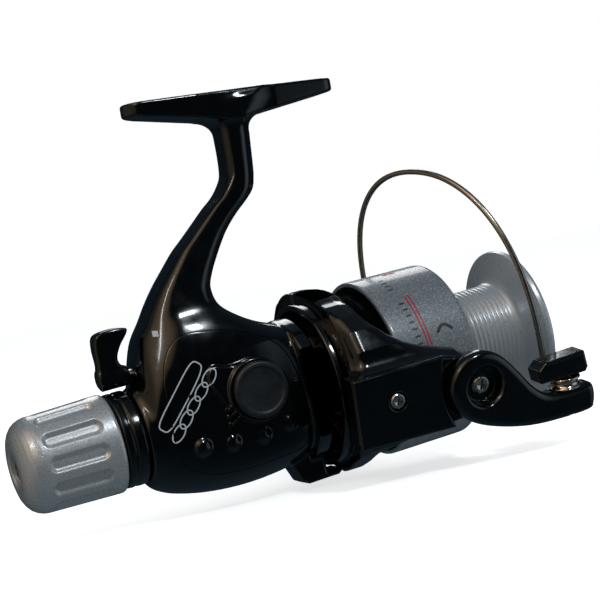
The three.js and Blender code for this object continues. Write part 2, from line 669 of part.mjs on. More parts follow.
const bailWire = () => sweep(new BailLoop(), WIRE_R, 48, 6);

function farArm() {
  const disc = atPivot(rod("Y", 7.6, ARM_OUTER + GAP, 39, 32));
  const stub = plate([[35, 4], [44, 0], [44.6, 12.4], [38, 12.8]], 35.4, 40);
  const end = new BailLoop().getPoint(1);
  const socket = rod("Z", WIRE_R + 0.45, end.z - 0.6, 30).translate(end.x, end.y, 0);
  const recess = atPivot(rod("Y", 5, 36, 50, 24));
  return cut(join(disc, stub), socket, recess, atPivot(rod("Y", 1.9, 20, 50, 20)));
}

// ---- spool ----
function spool() {
  const outside = [
    [SPOOL_FRONT, 5], [SPOOL_FRONT, 9], [70.4, 11.5], [70.4, 22], [71.4, 22.6], [71.2, FLANGE_R - 0.4],
    [70.2, FLANGE_R], [69, FLANGE_R - 0.4], [67.6, 20], [66.4, 16.4], [64.6, DRUM_R], [45.2, DRUM_R],
    [44.6, 15.6], [44.4, 24.8], [43.4, 25.8], [SKIRT_BACK + 0.6, SKIRT_R], [SKIRT_BACK, 25.7]];
  const inside = [
    [SKIRT_BACK, SKIRT_BORE], [42, SKIRT_BORE - 0.2], [42, 13], [62, 13], [62, 6.5], [SKIRT_FRONT, 6.5],
    [SKIRT_FRONT, SHAFT_R + GAP], [65, SHAFT_R + GAP], [65, 5], [SPOOL_FRONT, 5]];
  return turned("X", [...outside, ...inside], 44);
}

const releaseButton = () => turned("X", [
  [67, 0], [67, 4.6], [75, 4.6], [76.2, 4], [76.8, 2.6], [77, 0]]);

// ---- crank handle, drawn in its own frame: X along the arm, Y away from the case ----
function handleHub() {
  const barrel = rod("Y", 6.2, 20.2, 31.2, 20);
  const slot = box(-8, 8, 24.6, 40, -3.3, 3.3);
  const pinHole = rod("Z", 1.4, -10, 10, 16).translate(0, 28, 0);
  return cut(barrel, slot, pinHole, rod("Y", CRANK_R + GAP, 15, 26));
}

const HANDLE_LINE = [[-2.2, 28], [7, 28.4], [15.4, 38.6], [20, 42.2], [HANDLE_REACH, 45.4]];

function handleArm() {
  const halfThickness = 2.2;
  const outline = [
    ...HANDLE_LINE.map(([u, y]) => [u, y + halfThickness]),
    ...HANDLE_LINE.toReversed().map(([u, y]) => [u, y - halfThickness])];
  const strip = prism("Z", outlineShape(outline), -3, 3);
  const end = rod("Y", 6, HANDLE_LINE[4][1] - halfThickness, HANDLE_LINE[4][1] + halfThickness, 20);
  const pinHole = rod("Z", 1.4, -10, 10, 16).translate(0, 28, 0);
  const spindleHole = rod("Y", 1.8, 30, 60, 16).translate(HANDLE_REACH, 0, 0);
  return cut(join(strip, end.translate(HANDLE_REACH, 0, 0)), pinHole, spindleHole);
}

const handleSpindle = () => turned("Y", [
  [41.4, 0], [41.4, 2.8], [42.7, 2.8], [42.7, 1.5], [73, 1.5], [73, 0]], 20).translate(HANDLE_REACH, 0, 0);

function handleKnob() {
  const profile = [
    [48, 1.8], [48, 6.4], [49, 7], [52, 6.4], [58, 6.8], [66, 8.8], [71, 9], [74.6, 7.2], [76, 4], [76, 0],
    [74, 0], [74, 1.8], [48, 1.8]];
  return turned("Y", profile, 20).translate(HANDLE_REACH, 0, 0);
}

// ---- the assembly ----
function addHousingParts() {
  add(mechanism, "body_housing", housing(), black);
  add(mechanism, "side_cover", sideCover(), black);
  add(mechanism, "handle_screw_cap", screwCap(), black);
  SCREW_PLACES.forEach(([x, z], i) => {
    const fastener = screw("Y", 13.4, -12.2, 2.3, 1.1).translate(x, 0, z);
    add(mechanism, `cover_screw_${i + 1}`, fastener, steel);
  });
  add(mechanism, "rear_collar", tube("X", NECK_R + GAP, COLLAR_R, -59.4, -53.4, 36), black);
  add(crankGroup, "crank_bush_near", tube("Y", CRANK_R + GAP, 4.5, -15, -10.2), nylon);
  add(crankGroup, "crank_bush_far", tube("Y", CRANK_R + GAP, 4.5, 11, 19.2), nylon);
  add(mechanism, "rear_shaft_bush", tube("X", 3.9, 5, -53.6, -49.6), nylon);
  const front = BEARING_BACK + BEARING_WIDTH;
  add(mechanism, "pinion_bearing_outer", tube("X", 6.9, BEARING_R, BEARING_BACK, front), steel);
  add(mechanism, "pinion_bearing_balls", ballCage(), steel);
  add(mechanism, "bearing_retainer", bearingRetainer(), zinc);
  add(mechanism, "slider_guide_rod", rod("X", 1.2, -48.6, -6.4, 16).translate(0, -0.6, -8.2), steel);
}

function addRotorParts() {
  add(rotorGroup, "rotor", rotorBody(), black);
  add(rotorGroup, "pinion_gear", pinion(), brass);
  add(rotorGroup, "rotor_nut", prism("X", nutShape(5.6, PINION_R + GAP), ROTOR_FRONT + GAP, 40.8), brass);
  add(rotorGroup, "anti_reverse_ratchet", ratchetWheel(), zinc);
  const front = BEARING_BACK + BEARING_WIDTH;
  add(rotorGroup, "pinion_bearing_inner", tube("X", PINION_R + GAP, 4.6, BEARING_BACK, front), steel);
  add(rotorGroup, "arm_cover_near", armCover(), black);
  add(rotorGroup, "arm_cover_far", mirrorAcross(armCover()), black);
  add(rotorGroup, "arm_cover_screw_near", armCoverScrew(), steel);
  add(rotorGroup, "arm_cover_screw_far", mirrorAcross(armCoverScrew()), steel);
  add(rotorGroup, "bail_spring", coil("X", 1.7, 0.35, 16.4, 25.4, 7).translate(0, -32, -2.6), steel);
  add(rotorGroup, "bail_pivot_screw_near", pivotScrew(-37.4), steel);
  add(rotorGroup, "bail_pivot_screw_far", mirrorAcross(pivotScrew(-37.4)), steel);
}

function ratchetWheel() {
  const teeth = 10;
  const points = [];
  for (let i = 0; i < teeth; i += 1) {
    for (const [step, r] of [[0, 7.6], [0.1, 6], [0.5, 6.7]]) {
      const angle = 2 * Math.PI * (i + step) / teeth;
      points.push([r * Math.cos(angle), r * Math.sin(angle)]);
    }
  }
  const shape = outlineShape(points);
  shape.holes.push(circleHole(PINION_R + GAP));
  return prism("X", shape, RATCHET_BACK, RATCHET_FRONT);
}

function addBailParts() {
  add(rotorGroup, "roller_arm", rollerArm(), black);
  add(rotorGroup, "far_bail_arm", farArm(), black);
  add(rotorGroup, "bail_wire", bailWire(), steel);
  add(rotorGroup, "wire_holder", wireHolder(), black);
  add(rotorGroup, "line_roller_screw", rollerScrew(), steel);
  add(rotorGroup, "line_roller", lineRoller(), brass);
}

function addShaftParts() {
  add(mechanism, "main_shaft", rod("X", SHAFT_R, SHAFT_REAR, SHAFT_FRONT), steel);
  add(mechanism, "spool_seat", tube("X", SHAFT_R + GAP, 5.6, 41.4, SKIRT_FRONT - GAP), brass);
  add(mechanism, "spool", spool(), silver);
  add(mechanism, "spool_release_button", releaseButton(), satinBlack);
  add(mechanism, "oscillation_slider", slider(), zinc);
}

function addDragParts() {
  add(mechanism, "drag_knob", dragKnob(), silver);
  add(mechanism, "drag_knob_screw", screw("X", -87.2, -80, 3.3, 1.3), steel);
  add(mechanism, "drag_spindle", dragSpindle(), brass);
  add(mechanism, "drag_nut", prism("X", nutShape(8.4, 2.7), -79.6, -76.8), brass);
  add(mechanism, "drag_spring", coil("X", 5.6, 0.7, -76.4, -65.3, 5), steel);
  add(mechanism, "drag_pressure_plate", tube("X", 4, 8.5, -65, -63.7), zinc);
  add(mechanism, "drag_sleeve", dragSleeve(), brass);
  [[-59.1, -57.8], [-62.1, -60.8]].forEach(([back, front], i) => {
    add(mechanism, `drag_felt_washer_${i + 1}`, tube("X", 4, 8.2, back, front), felt);
  });
  [[-60.5, -59.4], [-63.4, -62.4]].forEach(([back, front], i) => {
    add(mechanism, `drag_keyed_washer_${i + 1}`, tube("X", 3.9, 8.4, back, front), steel);
  });
}

function addCrankParts() {
  add(crankGroup, "drive_gear", driveGear(), zinc);
  add(crankGroup, "crank_shaft", rod("Y", CRANK_R, -14.8, 24.2), steel);
  add(crankGroup, "oscillation_drive_gear", smallGear(), nylon);
  add(mechanism, "oscillation_gear", oscillationGear(), nylon);
  add(handleGroup, "handle_hub", handleHub(), satinBlack);
  add(handleGroup, "handle_fold_pin", rod("Z", 1.1, -5.2, 5.2, 16).translate(0, 28, 0), steel);
  add(handleGroup, "handle_arm", handleArm(), black);
  add(handleGroup, "handle_knob_spindle", handleSpindle(), steel);
  add(handleGroup, "handle_knob", handleKnob(), satinBlack);
}

function addAntiReverseParts() {
  add(mechanism, "anti_reverse_lever", thumbLever(), black);
  add(mechanism, "anti_reverse_cam_rod", camRod(), steel);
  add(mechanism, "anti_reverse_pawl", pawl(), zinc);
}

addHousingParts();
addRotorParts();
addBailParts();
addShaftParts();
addDragParts();
addCrankParts();
addAntiReverseParts();

export default reel;
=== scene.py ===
"""Looks of the spinning reel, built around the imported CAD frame.

Shapes are in millimetres in the shaft frame (X along the main shaft, Y across the reel, Z towards
the foot), or in the rotor's or the handle's turned copy of it. SHAFT, ROTOR, CRANK and HANDLE take them
to the row frame in metres. Moulded parts are smooth fields turned into meshes; turned parts are
lathed.
"""
import json
import math

import bmesh
import bpy
import numpy as np
from mathutils import Matrix, Vector
from mathutils.bvhtree import BVHTree


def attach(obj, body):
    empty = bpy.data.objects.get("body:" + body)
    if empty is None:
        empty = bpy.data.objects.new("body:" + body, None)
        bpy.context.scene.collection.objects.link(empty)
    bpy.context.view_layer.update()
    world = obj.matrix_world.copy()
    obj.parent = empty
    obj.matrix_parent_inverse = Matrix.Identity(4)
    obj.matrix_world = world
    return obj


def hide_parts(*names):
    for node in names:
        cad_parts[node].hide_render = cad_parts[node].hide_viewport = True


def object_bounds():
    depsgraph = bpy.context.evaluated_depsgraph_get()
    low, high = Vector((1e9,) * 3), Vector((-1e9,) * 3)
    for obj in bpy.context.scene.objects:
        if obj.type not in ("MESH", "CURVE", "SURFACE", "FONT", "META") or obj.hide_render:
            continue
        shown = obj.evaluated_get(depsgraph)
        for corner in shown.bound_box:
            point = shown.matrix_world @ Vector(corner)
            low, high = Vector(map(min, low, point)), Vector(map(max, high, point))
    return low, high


# ---- the frame ----
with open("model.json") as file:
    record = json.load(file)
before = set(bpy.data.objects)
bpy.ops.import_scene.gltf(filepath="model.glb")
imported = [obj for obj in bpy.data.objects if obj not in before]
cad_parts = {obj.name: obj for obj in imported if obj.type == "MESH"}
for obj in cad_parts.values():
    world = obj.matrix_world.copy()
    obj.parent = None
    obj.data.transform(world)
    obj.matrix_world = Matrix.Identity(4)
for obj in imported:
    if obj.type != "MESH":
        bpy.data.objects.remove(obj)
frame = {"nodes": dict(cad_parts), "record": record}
cad_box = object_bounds()

MM = 0.001
SHAFT_TILT = math.radians(4.4)
ROTOR_REST = math.radians(12)
HANDLE_REST = math.radians(12)
FOOT_POINT = Vector((-1.9, 0, 88))
CRANK_X, CRANK_Z = -20, 4.8
PIVOT_X, PIVOT_Z = 37.5, -1.4
ROLLER_X, ROLLER_Y = 64.6, -36.5

SHAFT = (Matrix.Scale(MM, 4) @ Matrix.Rotation(-SHAFT_TILT, 4, "Y")
         @ Matrix.Translation(-FOOT_POINT))
ROTOR = SHAFT @ Matrix.Rotation(ROTOR_REST, 4, "X")
CRANK = SHAFT @ Matrix.Translation((CRANK_X, 0, CRANK_Z))
HANDLE = CRANK @ Matrix.Rotation(HANDLE_REST, 4, "Y")

FINE = 1


# ---- fields: negative inside, positive outside, in millimetres ----
def smooth_max(a, b, k):
    h = np.clip(0.5 + 0.5 * (a - b) / k, 0, 1)
    return b + (a - b) * h + k * h * (1 - h)


def smooth_min(a, b, k):
    return -smooth_max(-a, -b, k)


def slab(value, low, high):
    return np.abs(value - (low + high) / 2) - (high - low) / 2


def polygon(u, v, corners):
    """Signed distance to a closed outline in two axes."""
    inside = np.zeros(u.shape, bool)
    nearest = np.full(u.shape, np.inf)
    for (ua, va), (ub, vb) in zip(corners, corners[1:] + corners[:1]):
        du, dv = ub - ua, vb - va
        share = np.clip(((u - ua) * du + (v - va) * dv) / (du * du + dv * dv), 0, 1)
        nearest = np.minimum(nearest, (u - ua - du * share) ** 2 + (v - va - dv * share) ** 2)
        if va != vb:
            inside ^= ((va > v) != (vb > v)) & (u < du * (v - va) / dv + ua)
    return np.where(inside, -1, 1) * np.sqrt(nearest)


def rounded(corners, steps=5):
    """A closed smooth curve through the corners."""
    points = []
    for i in range(len(corners)):
        a, b, c, d = (np.array(corners[(i + k) % len(corners)], float) for k in (-1, 0, 1, 2))
        for step in range(steps):
            t = step / steps
            point = 0.5 * (2 * b + (c - a) * t + (2 * a - 5 * b + 4 * c - d) * t * t
                           + (3 * b - a - 3 * c + d) * t ** 3)
            points.append(tuple(point))
    return points


def through(stations, at):
    """Values at a place along smoothly joined stations, whose first column is the place."""
    rows = np.array(stations, float)
    padded = np.vstack([2 * rows[0] - rows[1], rows, 2 * rows[-1] - rows[-2]])
    dense = []
    for a, b, c, d in zip(padded, padded[1:], padded[2:], padded[3:]):
        for t in np.linspace(0, 1, 12, endpoint=False):
            dense.append(0.5 * (2 * b + (c - a) * t + (2 * a - 5 * b + 4 * c - d) * t * t
                                + (3 * b - a - 3 * c + d) * t ** 3))
    dense = np.array(dense + [rows[-1]])
    return [np.interp(at, dense[:, 0], dense[:, k]) for k in range(1, rows.shape[1])]


def oval(a, b, half_a, half_b, power):
    """Pseudo distance to a superellipse."""
    size = (np.abs(a / half_a) ** power + np.abs(b / half_b) ** power) ** (1 / power)
    return np.hypot(a, b) * (1 - 1 / np.maximum(size, 0.15))


# ---- meshes from fields ----
def net(field, low, high, pitch):
    """Points and quads on the field's zero surface, one point in each cell that it crosses."""
    axes = [np.arange(a, b + pitch, pitch) for a, b in zip(low, high)]
    grid = np.meshgrid(*axes, indexing="ij")
    value = field(*grid)
    shape = np.array(value.shape)
    total = np.zeros((*(shape - 1), 3))
    count = np.zeros(shape - 1)
    crossings = []
    for axis in range(3):
        here = [slice(None)] * 3
        there = [slice(None)] * 3
        here[axis] = slice(0, -1)
        there[axis] = slice(1, None)
        a, b = value[tuple(here)], value[tuple(there)]
        index = np.argwhere((a < 0) != (b < 0))
        va, vb = a[tuple(index.T)], b[tuple(index.T)]
        point = index.astype(float)
        point[:, axis] += va / (va - vb)
        others = [k for k in range(3) if k != axis]
        inner = np.all((index[:, others] > 0) & (index[:, others] < shape[others] - 1), axis=1)
        index, point, starts_inside = index[inner], point[inner], (va < 0)[inner]
        around = []
        for du, dv in ((0, 0), (-1, 0), (-1, -1), (0, -1)):
            cell = index.copy()
            cell[:, others[0]] += du
            cell[:, others[1]] += dv
            around.append(cell)
            np.add.at(total, tuple(cell.T), point)
            np.add.at(count, tuple(cell.T), 1)
        crossings.append((around, starts_inside, axis))
    used = count > 0
    number = np.full(count.shape, -1)
    number[used] = np.arange(used.sum())
    points = np.array(low) + pitch * total[used] / count[used][:, None]
    quads = []
    for around, starts_inside, axis in crossings:
        quad = np.stack([number[tuple(cell.T)] for cell in around], axis=1)
        flip = starts_inside if axis == 1 else ~starts_inside
        quad[flip] = quad[flip][:, ::-1]
        quads.append(quad)
    return points, np.vstack(quads)


def settle(field, points, reach):
    """Moves the points onto the field's zero surface."""
    step = 0.02
    for _ in range(4):
        value = field(*points.T)
        slope = np.stack([
            (field(*(points + offset).T) - field(*(points - offset).T)) / (2 * step)
            for offset in step * np.eye(3)], axis=1)
        move = value[:, None] * slope / np.maximum((slope ** 2).sum(1), 0.05)[:, None]
        length = np.linalg.norm(move, axis=1)[:, None]
        points = points - move * np.minimum(1, reach / np.maximum(length, 1e-9))
    return points


def finer(points, quads):
    """Splits each quad into four."""
    edges = np.sort(np.stack([quads, np.roll(quads, -1, axis=1)], axis=2).reshape(-1, 2), axis=1)
    unique, inverse = np.unique(edges, axis=0, return_inverse=True)
    middle = points[unique].mean(axis=1)
    centre = points[quads].mean(axis=1)
    edge = (len(points) + inverse.reshape(-1, 4))
    core = len(points) + len(unique) + np.arange(len(quads))
    parts = [np.stack([quads[:, k], edge[:, k], core, edge[:, k - 1]], axis=1) for k in range(4)]
    return np.vstack([points, middle, centre]), np.vstack(parts)


def moulded(field, low, high, pitch):
    """A dense mesh, in millimetres, of a moulded shape."""
    pitch = pitch * FINE
    points, quads = net(field, low, high, pitch)
    points = settle(field, points, pitch / 2)
    points, quads = finer(points, quads)
    points = settle(field, points, pitch / 4)
    return points, quads.tolist()


# ---- meshes from outlines ----
AXES = {"X": (0, 1, 2), "Y": (1, 2, 0), "Z": (2, 0, 1)}


def filleted(profile, radius, closed=False):
    """A profile with each inner corner turned into a short arc."""
    points = [np.array(p, float) for p in profile]
    result = []
    for i, here in enumerate(points):
        if not closed and i in (0, len(points) - 1):
            result.append(here)
            continue
        before = points[i - 1] - here
        after = points[(i + 1) % len(points)] - here
        size = min(radius, 0.45 * np.linalg.norm(before), 0.45 * np.linalg.norm(after))
        start = here + before / np.linalg.norm(before) * size
        end = here + after / np.linalg.norm(after) * size
        for t in (0, 0.25, 0.5, 0.75, 1):
            result.append((1 - t) ** 2 * start + 2 * t * (1 - t) * here + t * t * end)
    return result


def turned(profile, axis="X", centre=(0, 0), fillet=0.25, segments=96, closed=False, radius_at=None):
    """A lathed solid from [along, radius] pairs. radius_at may change the radius round the turn."""
    ring = filleted(profile, fillet, closed)
    count = max(24, int(segments / FINE))
    along, across, up = AXES[axis]
    points = []
    faces = []
    for place, radius in ring:
        for k in range(count):
            angle = 2 * math.pi * k / count
            r = radius if radius_at is None else radius_at(place, radius, angle)
            point = [0, 0, 0]
            point[along] = place
            point[across] = centre[0] + r * math.cos(angle)
            point[up] = centre[1] + r * math.sin(angle)
            points.append(point)
    rows = len(ring)
    for i in range(rows if closed else rows - 1):
        for k in range(count):
            a, b = i * count + k, i * count + (k + 1) % count
            c, d = (a + count) % (rows * count), (b + count) % (rows * count)
            faces.append([a, b, d, c])
    return np.array(points), faces


def swept(curve, radius, steps=160, sides=20):
    """A round wire along a curve given as a function of a share from 0 to 1."""
    centres = np.array([curve(t) for t in np.linspace(0, 1, steps + 1)])
    points = []
    normal = np.array([1.0, 0, 0])
    for i, centre in enumerate(centres):
        ahead = centres[min(i + 1, steps)] - centres[max(i - 1, 0)]
        ahead /= np.linalg.norm(ahead)
        normal = normal - ahead * normal.dot(ahead)
        normal /= np.linalg.norm(normal)
        side = np.cross(ahead, normal)
        r = radius * (0.8 if i in (0, steps) else 1)
        points += [centre + r * (math.cos(a) * normal + math.sin(a) * side)
                   for a in np.linspace(0, 2 * math.pi, sides, endpoint=False)]
    faces = [[i * sides + k, i * sides + (k + 1) % sides, (i + 1) * sides + (k + 1) % sides,
              (i + 1) * sides + k] for i in range(steps) for k in range(sides)]
    faces.append(list(range(sides))[::-1])
    faces.append([steps * sides + k for k in range(sides)])
    return np.array(points), faces


def mesh_object(name, points, faces, place=SHAFT, sharp=38):
    """A Blender mesh object in the row frame, with its faces outwards and its real edges sharp."""
    mesh = bpy.data.meshes.new(name)
    mesh.from_pydata([place @ Vector(p) for p in points], [], faces)
    build = bmesh.new()
    build.from_mesh(mesh)
    bmesh.ops.remove_doubles(build, verts=build.verts, dist=2e-6)
    bmesh.ops.dissolve_degenerate(build, edges=build.edges, dist=1e-7)
    bmesh.ops.recalc_face_normals(build, faces=build.faces)
    build.to_mesh(mesh)
    build.free()
    mesh.shade_smooth()
    mesh.set_sharp_from_angle(angle=math.radians(sharp))
    piece = bpy.data.objects.new(name, mesh)
    bpy.context.scene.collection.objects.link(piece)
    return piece


def combine(piece, tool, how, sharp=38):
    """Joins, cuts or intersects a piece with a tool, and removes the tool."""
    bpy.context.view_layer.update()
    modifier = piece.modifiers.new("combine", "BOOLEAN")
    modifier.operation = how
    modifier.solver = "EXACT"
    modifier.object = tool
    graph = bpy.context.evaluated_depsgraph_get()
    mesh = bpy.data.meshes.new_from_object(piece.evaluated_get(graph))
    piece.modifiers.clear()
    piece.data = mesh
    mesh.shade_smooth()
    mesh.set_sharp_from_angle(angle=math.radians(sharp))
    bpy.data.objects.remove(tool)
    return piece


def dress(piece, body, material, slot, *nodes):
    """Gives a piece its body and material, and hides the CAD nodes it stands for; the slot argument is not
    used.
    """
    piece.data.materials.clear()
    piece.data.materials.append(material)
    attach(piece, body)
    if nodes:
        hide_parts(*nodes)
    return piece


# ---- materials ----
def new_material(name):
    material = bpy.data.materials.new(name)
    material.use_nodes = True
    tree = material.node_tree
    shader = tree.nodes["Principled BSDF"]
    coordinates = tree.nodes.new("ShaderNodeTexCoord")
    return material, tree, shader, coordinates.outputs["Object"]


def noise(tree, place, scale, detail=2.0):
    node = tree.nodes.new("ShaderNodeTexNoise")
    node.inputs["Scale"].default_value = scale
    node.inputs["Detail"].default_value = detail
    tree.links.new(place, node.inputs["Vector"])
    return node.outputs["Fac"]


def spread(tree, value, low, high, start=0.3, end=0.7):
    """Maps a texture value onto a range."""
    node = tree.nodes.new("ShaderNodeMapRange")
    node.inputs["From Min"].default_value = start
    node.inputs["From Max"].default_value = end
    node.inputs["To Min"].default_value = low
    node.inputs["To Max"].default_value = high
    tree.links.new(value, node.inputs["Value"])
    return node.outputs["Result"]


def bump(tree, shader, height, strength, distance):
    node = tree.nodes.new("ShaderNodeBump")
    node.inputs["Strength"].default_value = strength
    node.inputs["Distance"].default_value = distance
    tree.links.new(height, node.inputs["Height"])
    tree.links.new(node.outputs["Normal"], shader.inputs["Normal"])


def blend_colours(tree, factor, first, second):
    node = tree.nodes.new("ShaderNodeMix")
    node.data_type = "RGBA"
    node.inputs["A"].default_value = (*first, 1)
    node.inputs["B"].default_value = (*second, 1)
    tree.links.new(factor, node.inputs["Factor"])
    return node.outputs["Result"]


def gloss_black():
    material, tree, shader, place = new_material("gloss_black")
    tint = blend_colours(tree, noise(tree, place, 60), (0.0006, 0.001, 0.0013), (0.0011, 0.0016, 0.002))
    tree.links.new(tint, shader.inputs["Base Color"])
    rough = spread(tree, noise(tree, place, 240, 6), 0.10, 0.2)
    tree.links.new(rough, shader.inputs["Roughness"])
    shader.inputs["IOR"].default_value = 1.5
    shader.inputs["Coat Weight"].default_value = 0.3
    shader.inputs["Coat Roughness"].default_value = 0.06
    bump(tree, shader, noise(tree, place, 420, 3), 0.06, 0.0003)
    return material


def satin_black(name="satin_black", low=0.38, high=0.55):
    material, tree, shader, place = new_material(name)
    tint = blend_colours(tree, noise(tree, place, 90), (0.004, 0.006, 0.007), (0.007, 0.009, 0.011))
    tree.links.new(tint, shader.inputs["Base Color"])
    tree.links.new(spread(tree, noise(tree, place, 500, 5), low, high), shader.inputs["Roughness"])
    bump(tree, shader, noise(tree, place, 1400, 3), 0.25, 0.0002)
    return material


def silver_flake(name, base, glint, metal, scale, flake_share=0.5):
    """Paint with metal flakes: each flake is a cell with its own brightness and tilt."""
    material, tree, shader, place = new_material(name)
    cells = tree.nodes.new("ShaderNodeTexVoronoi")
    cells.inputs["Scale"].default_value = scale
    tree.links.new(place, cells.inputs["Vector"])
    split = tree.nodes.new("ShaderNodeSeparateColor")
    tree.links.new(cells.outputs["Color"], split.inputs["Color"])
    share = spread(tree, split.outputs["Red"], 0, 1, 1 - flake_share, 1)
    tree.links.new(blend_colours(tree, share, base, glint), shader.inputs["Base Color"])
    tree.links.new(spread(tree, split.outputs["Green"], 0.24, 0.5, 0, 1), shader.inputs["Roughness"])
    shader.inputs["Metallic"].default_value = metal
    shader.inputs["Coat Weight"].default_value = 0.5
    shader.inputs["Coat Roughness"].default_value = 0.12
    bump(tree, shader, split.outputs["Blue"], 0.25, 0.00012)
    return material


def metal(name, base, shade, low, high, stretch=(1, 1, 1), scale=300, metallic=1):
    """Bare metal with fine drawn or turned marks."""
    material, tree, shader, place = new_material(name)
    mapping = tree.nodes.new("ShaderNodeMapping")
    mapping.inputs["Scale"].default_value = stretch
    tree.links.new(place, mapping.inputs["Vector"])
    marks = noise(tree, mapping.outputs["Vector"], scale, 6)
    tree.links.new(blend_colours(tree, marks, shade, base), shader.inputs["Base Color"])
    tree.links.new(spread(tree, marks, low, high), shader.inputs["Roughness"])
    shader.inputs["Metallic"].default_value = metallic
    bump(tree, shader, marks, 0.08, 0.0001)
    return material


def plain(name, base, shade, rough, scale=200, depth=0.0002):
    material, tree, shader, place = new_material(name)
    speckle = noise(tree, place, scale, 5)
    tree.links.new(blend_colours(tree, speckle, shade, base), shader.inputs["Base Color"])
    tree.links.new(spread(tree, speckle, rough - 0.08, rough + 0.08), shader.inputs["Roughness"])
    bump(tree, shader, speckle, 0.3, depth)
    return material


BLACK = gloss_black()
SATIN = satin_black()
RUBBER = satin_black("grip_rubber", 0.5, 0.7)
KNOB_SILVER = silver_flake("knob_silver", (0.46, 0.47, 0.48), (0.56, 0.57, 0.58), 0.6, 5200)
SKIRT_SILVER = silver_flake("skirt_silver", (0.15, 0.165, 0.18), (0.34, 0.36, 0.39), 0.2, 4200, 0.35)
STEEL = metal("polished_steel", (0.62, 0.6, 0.57), (0.5, 0.48, 0.45), 0.14, 0.3)
WIRE_STEEL = metal("wire_steel", (0.44, 0.4, 0.34), (0.34, 0.3, 0.25), 0.2, 0.34, (1, 1, 1), 600)
SCREW_STEEL = metal("screw_steel", (0.72, 0.66, 0.6), (0.55, 0.48, 0.42), 0.16, 0.3, (1, 1, 1), 900)
BRASS = metal("turned_brass", (0.62, 0.44, 0.2), (0.5, 0.34, 0.14), 0.2, 0.35)
ROLLER_METAL = metal("plated_roller", (0.68, 0.6, 0.5), (0.6, 0.5, 0.4), 0.1, 0.2)
ZINC = metal("zinc_casting", (0.4, 0.41, 0.43), (0.32, 0.33, 0.35), 0.4, 0.6, (1, 1, 1), 500)
NYLON = plain("natural_nylon", (0.72, 0.69, 0.6), (0.66, 0.63, 0.55), 0.5)
FELT = plain("pressed_felt", (0.22, 0.2, 0.17), (0.12, 0.11, 0.09), 0.9, 900, 0.0006)
PRINT_WHITE = plain("white_print", (0.55, 0.56, 0.57), (0.45, 0.46, 0.47), 0.5, 300)
PRINT_RED = plain("red_print", (0.4, 0.02, 0.03), (0.3, 0.015, 0.02), 0.45, 300)
PRINT_BLACK = plain("black_print", (0.01, 0.01, 0.012), (0.02, 0.02, 0.022), 0.45, 300)

SLOT_MATERIALS = {
    "gloss_black": BLACK, "satin_black": SATIN, "silver_paint": KNOB_SILVER, "steel": STEEL,
    "brass": BRASS, "zinc": ZINC, "nylon": NYLON, "felt": FELT}


def dress_cad_nodes():
    """The CAD nodes that stay are the inner works, and take their slot's finish."""
    for row in frame["record"]["subparts"]:
        node = frame["nodes"][row["node"]]
        node.data.materials.clear()
        node.data.materials.append(SLOT_MATERIALS[row["material_slot"]])


dress_cad_nodes()

# ---- housing: case, stem, foot, rear neck, front nose and lug ----
# Each case station is x, lowest z, highest z, half width and squareness.
CASE = [
    (-53, -14.6, 13.2, 13.2, 2), (-50.2, -16.8, 15, 13.6, 2.2), (-46, -18.6, 25, 14.2, 2.7),
    (-38, -20.4, 28, 14.7, 3.2), (-28, -21.3, 28, 15, 3.4), (-18, -21, 25, 15, 3.4),
    (-10, -19.8, 22, 14.8, 3.2), (-4, -17.7, 19.6, 14.4, 2.9)]
# Each stem station is z, rear x, front x and half width.
STEM = [
    (17, -47, -10, 13), (25, -45.6, -17.5, 11.8), (30, -43, -21.6, 10.2), (35, -39.6, -22.3, 8.9),
    (39, -36.3, -20.6, 8.2), (43, -32.5, -18, 7.6), (47, -28.6, -15.1, 7.1), (50, -24.9, -12.6, 6.8),
    (53.4, -20.8, -9, 6.6), (57, -16.5, -4.4, 6.5), (59.6, -13, -1.9, 6.4), (62.8, -10.1, -0.8, 6.4),
    (66, -8.6, -0.2, 6.4), (74, -7.8, 0.9, 6.5), (79, -8.1, 1.8, 6.7), (84, -12, 6, 6.9)]
COVER_OUTLINE = [
    (-46, 2), (-45, -9), (-38, -14.5), (-27, -16), (-16, -15.6), (-8.6, -14.4), (-6.9, -8),
    (-6.6, 4), (-10, 15), (-19, 21), (-29, 24), (-38.5, 24), (-44.6, 16)]
SCREW_PLACES = [(-38.5, 21.4), (-22.5, -13.2), (-9.6, -12.4)]
LUG = [(-12.5, -15), (-12.5, -17), (-9, -25.8), (-7, -27), (2.6, -26.8), (3.8, -26), (3.8, -24.9),
       (-0.8, -24.9), (-0.8, -20), (-3.6, -17), (-3.6, -15)]
WALL = 2
BELLY_RISE, BELLY_SLOPE = 6.5, 1.3
COVER_PLANE = -11.8
LEVER_Z = 17.2


def case_field(x, y, z):
    low, high, width, power = through(CASE, x)
    side = np.abs(y)
    section = oval(y, z - (low + high) / 2, width, (high - low) / 2, power)
    belly = (side - width + BELLY_SLOPE * (low + BELLY_RISE - z)) / math.hypot(1, BELLY_SLOPE)
    return smooth_max(smooth_max(section, belly, 1.4), slab(x, -53, -4), 1.6)


def stem_field(x, y, z):
    rear, front, width = through(STEM, z)
    ahead = x - (rear + front) / 2
    half = (front - rear) / 2
    section = oval(ahead, y, half, width, 4.6)
    corner = (np.abs(y) - width + ahead - half + 3.4) * 0.707
    return smooth_max(smooth_max(section, corner, 0.8), slab(z, 10, 84), 1)


def rear_facet(x, y, z):
    """The sloping facet behind the ridge that runs down each side of the case."""
    behind = -0.79 * (x + 31) + 0.61 * (z - 33)
    return (np.abs(y) - 14.4 + 0.85 * behind) * 0.76


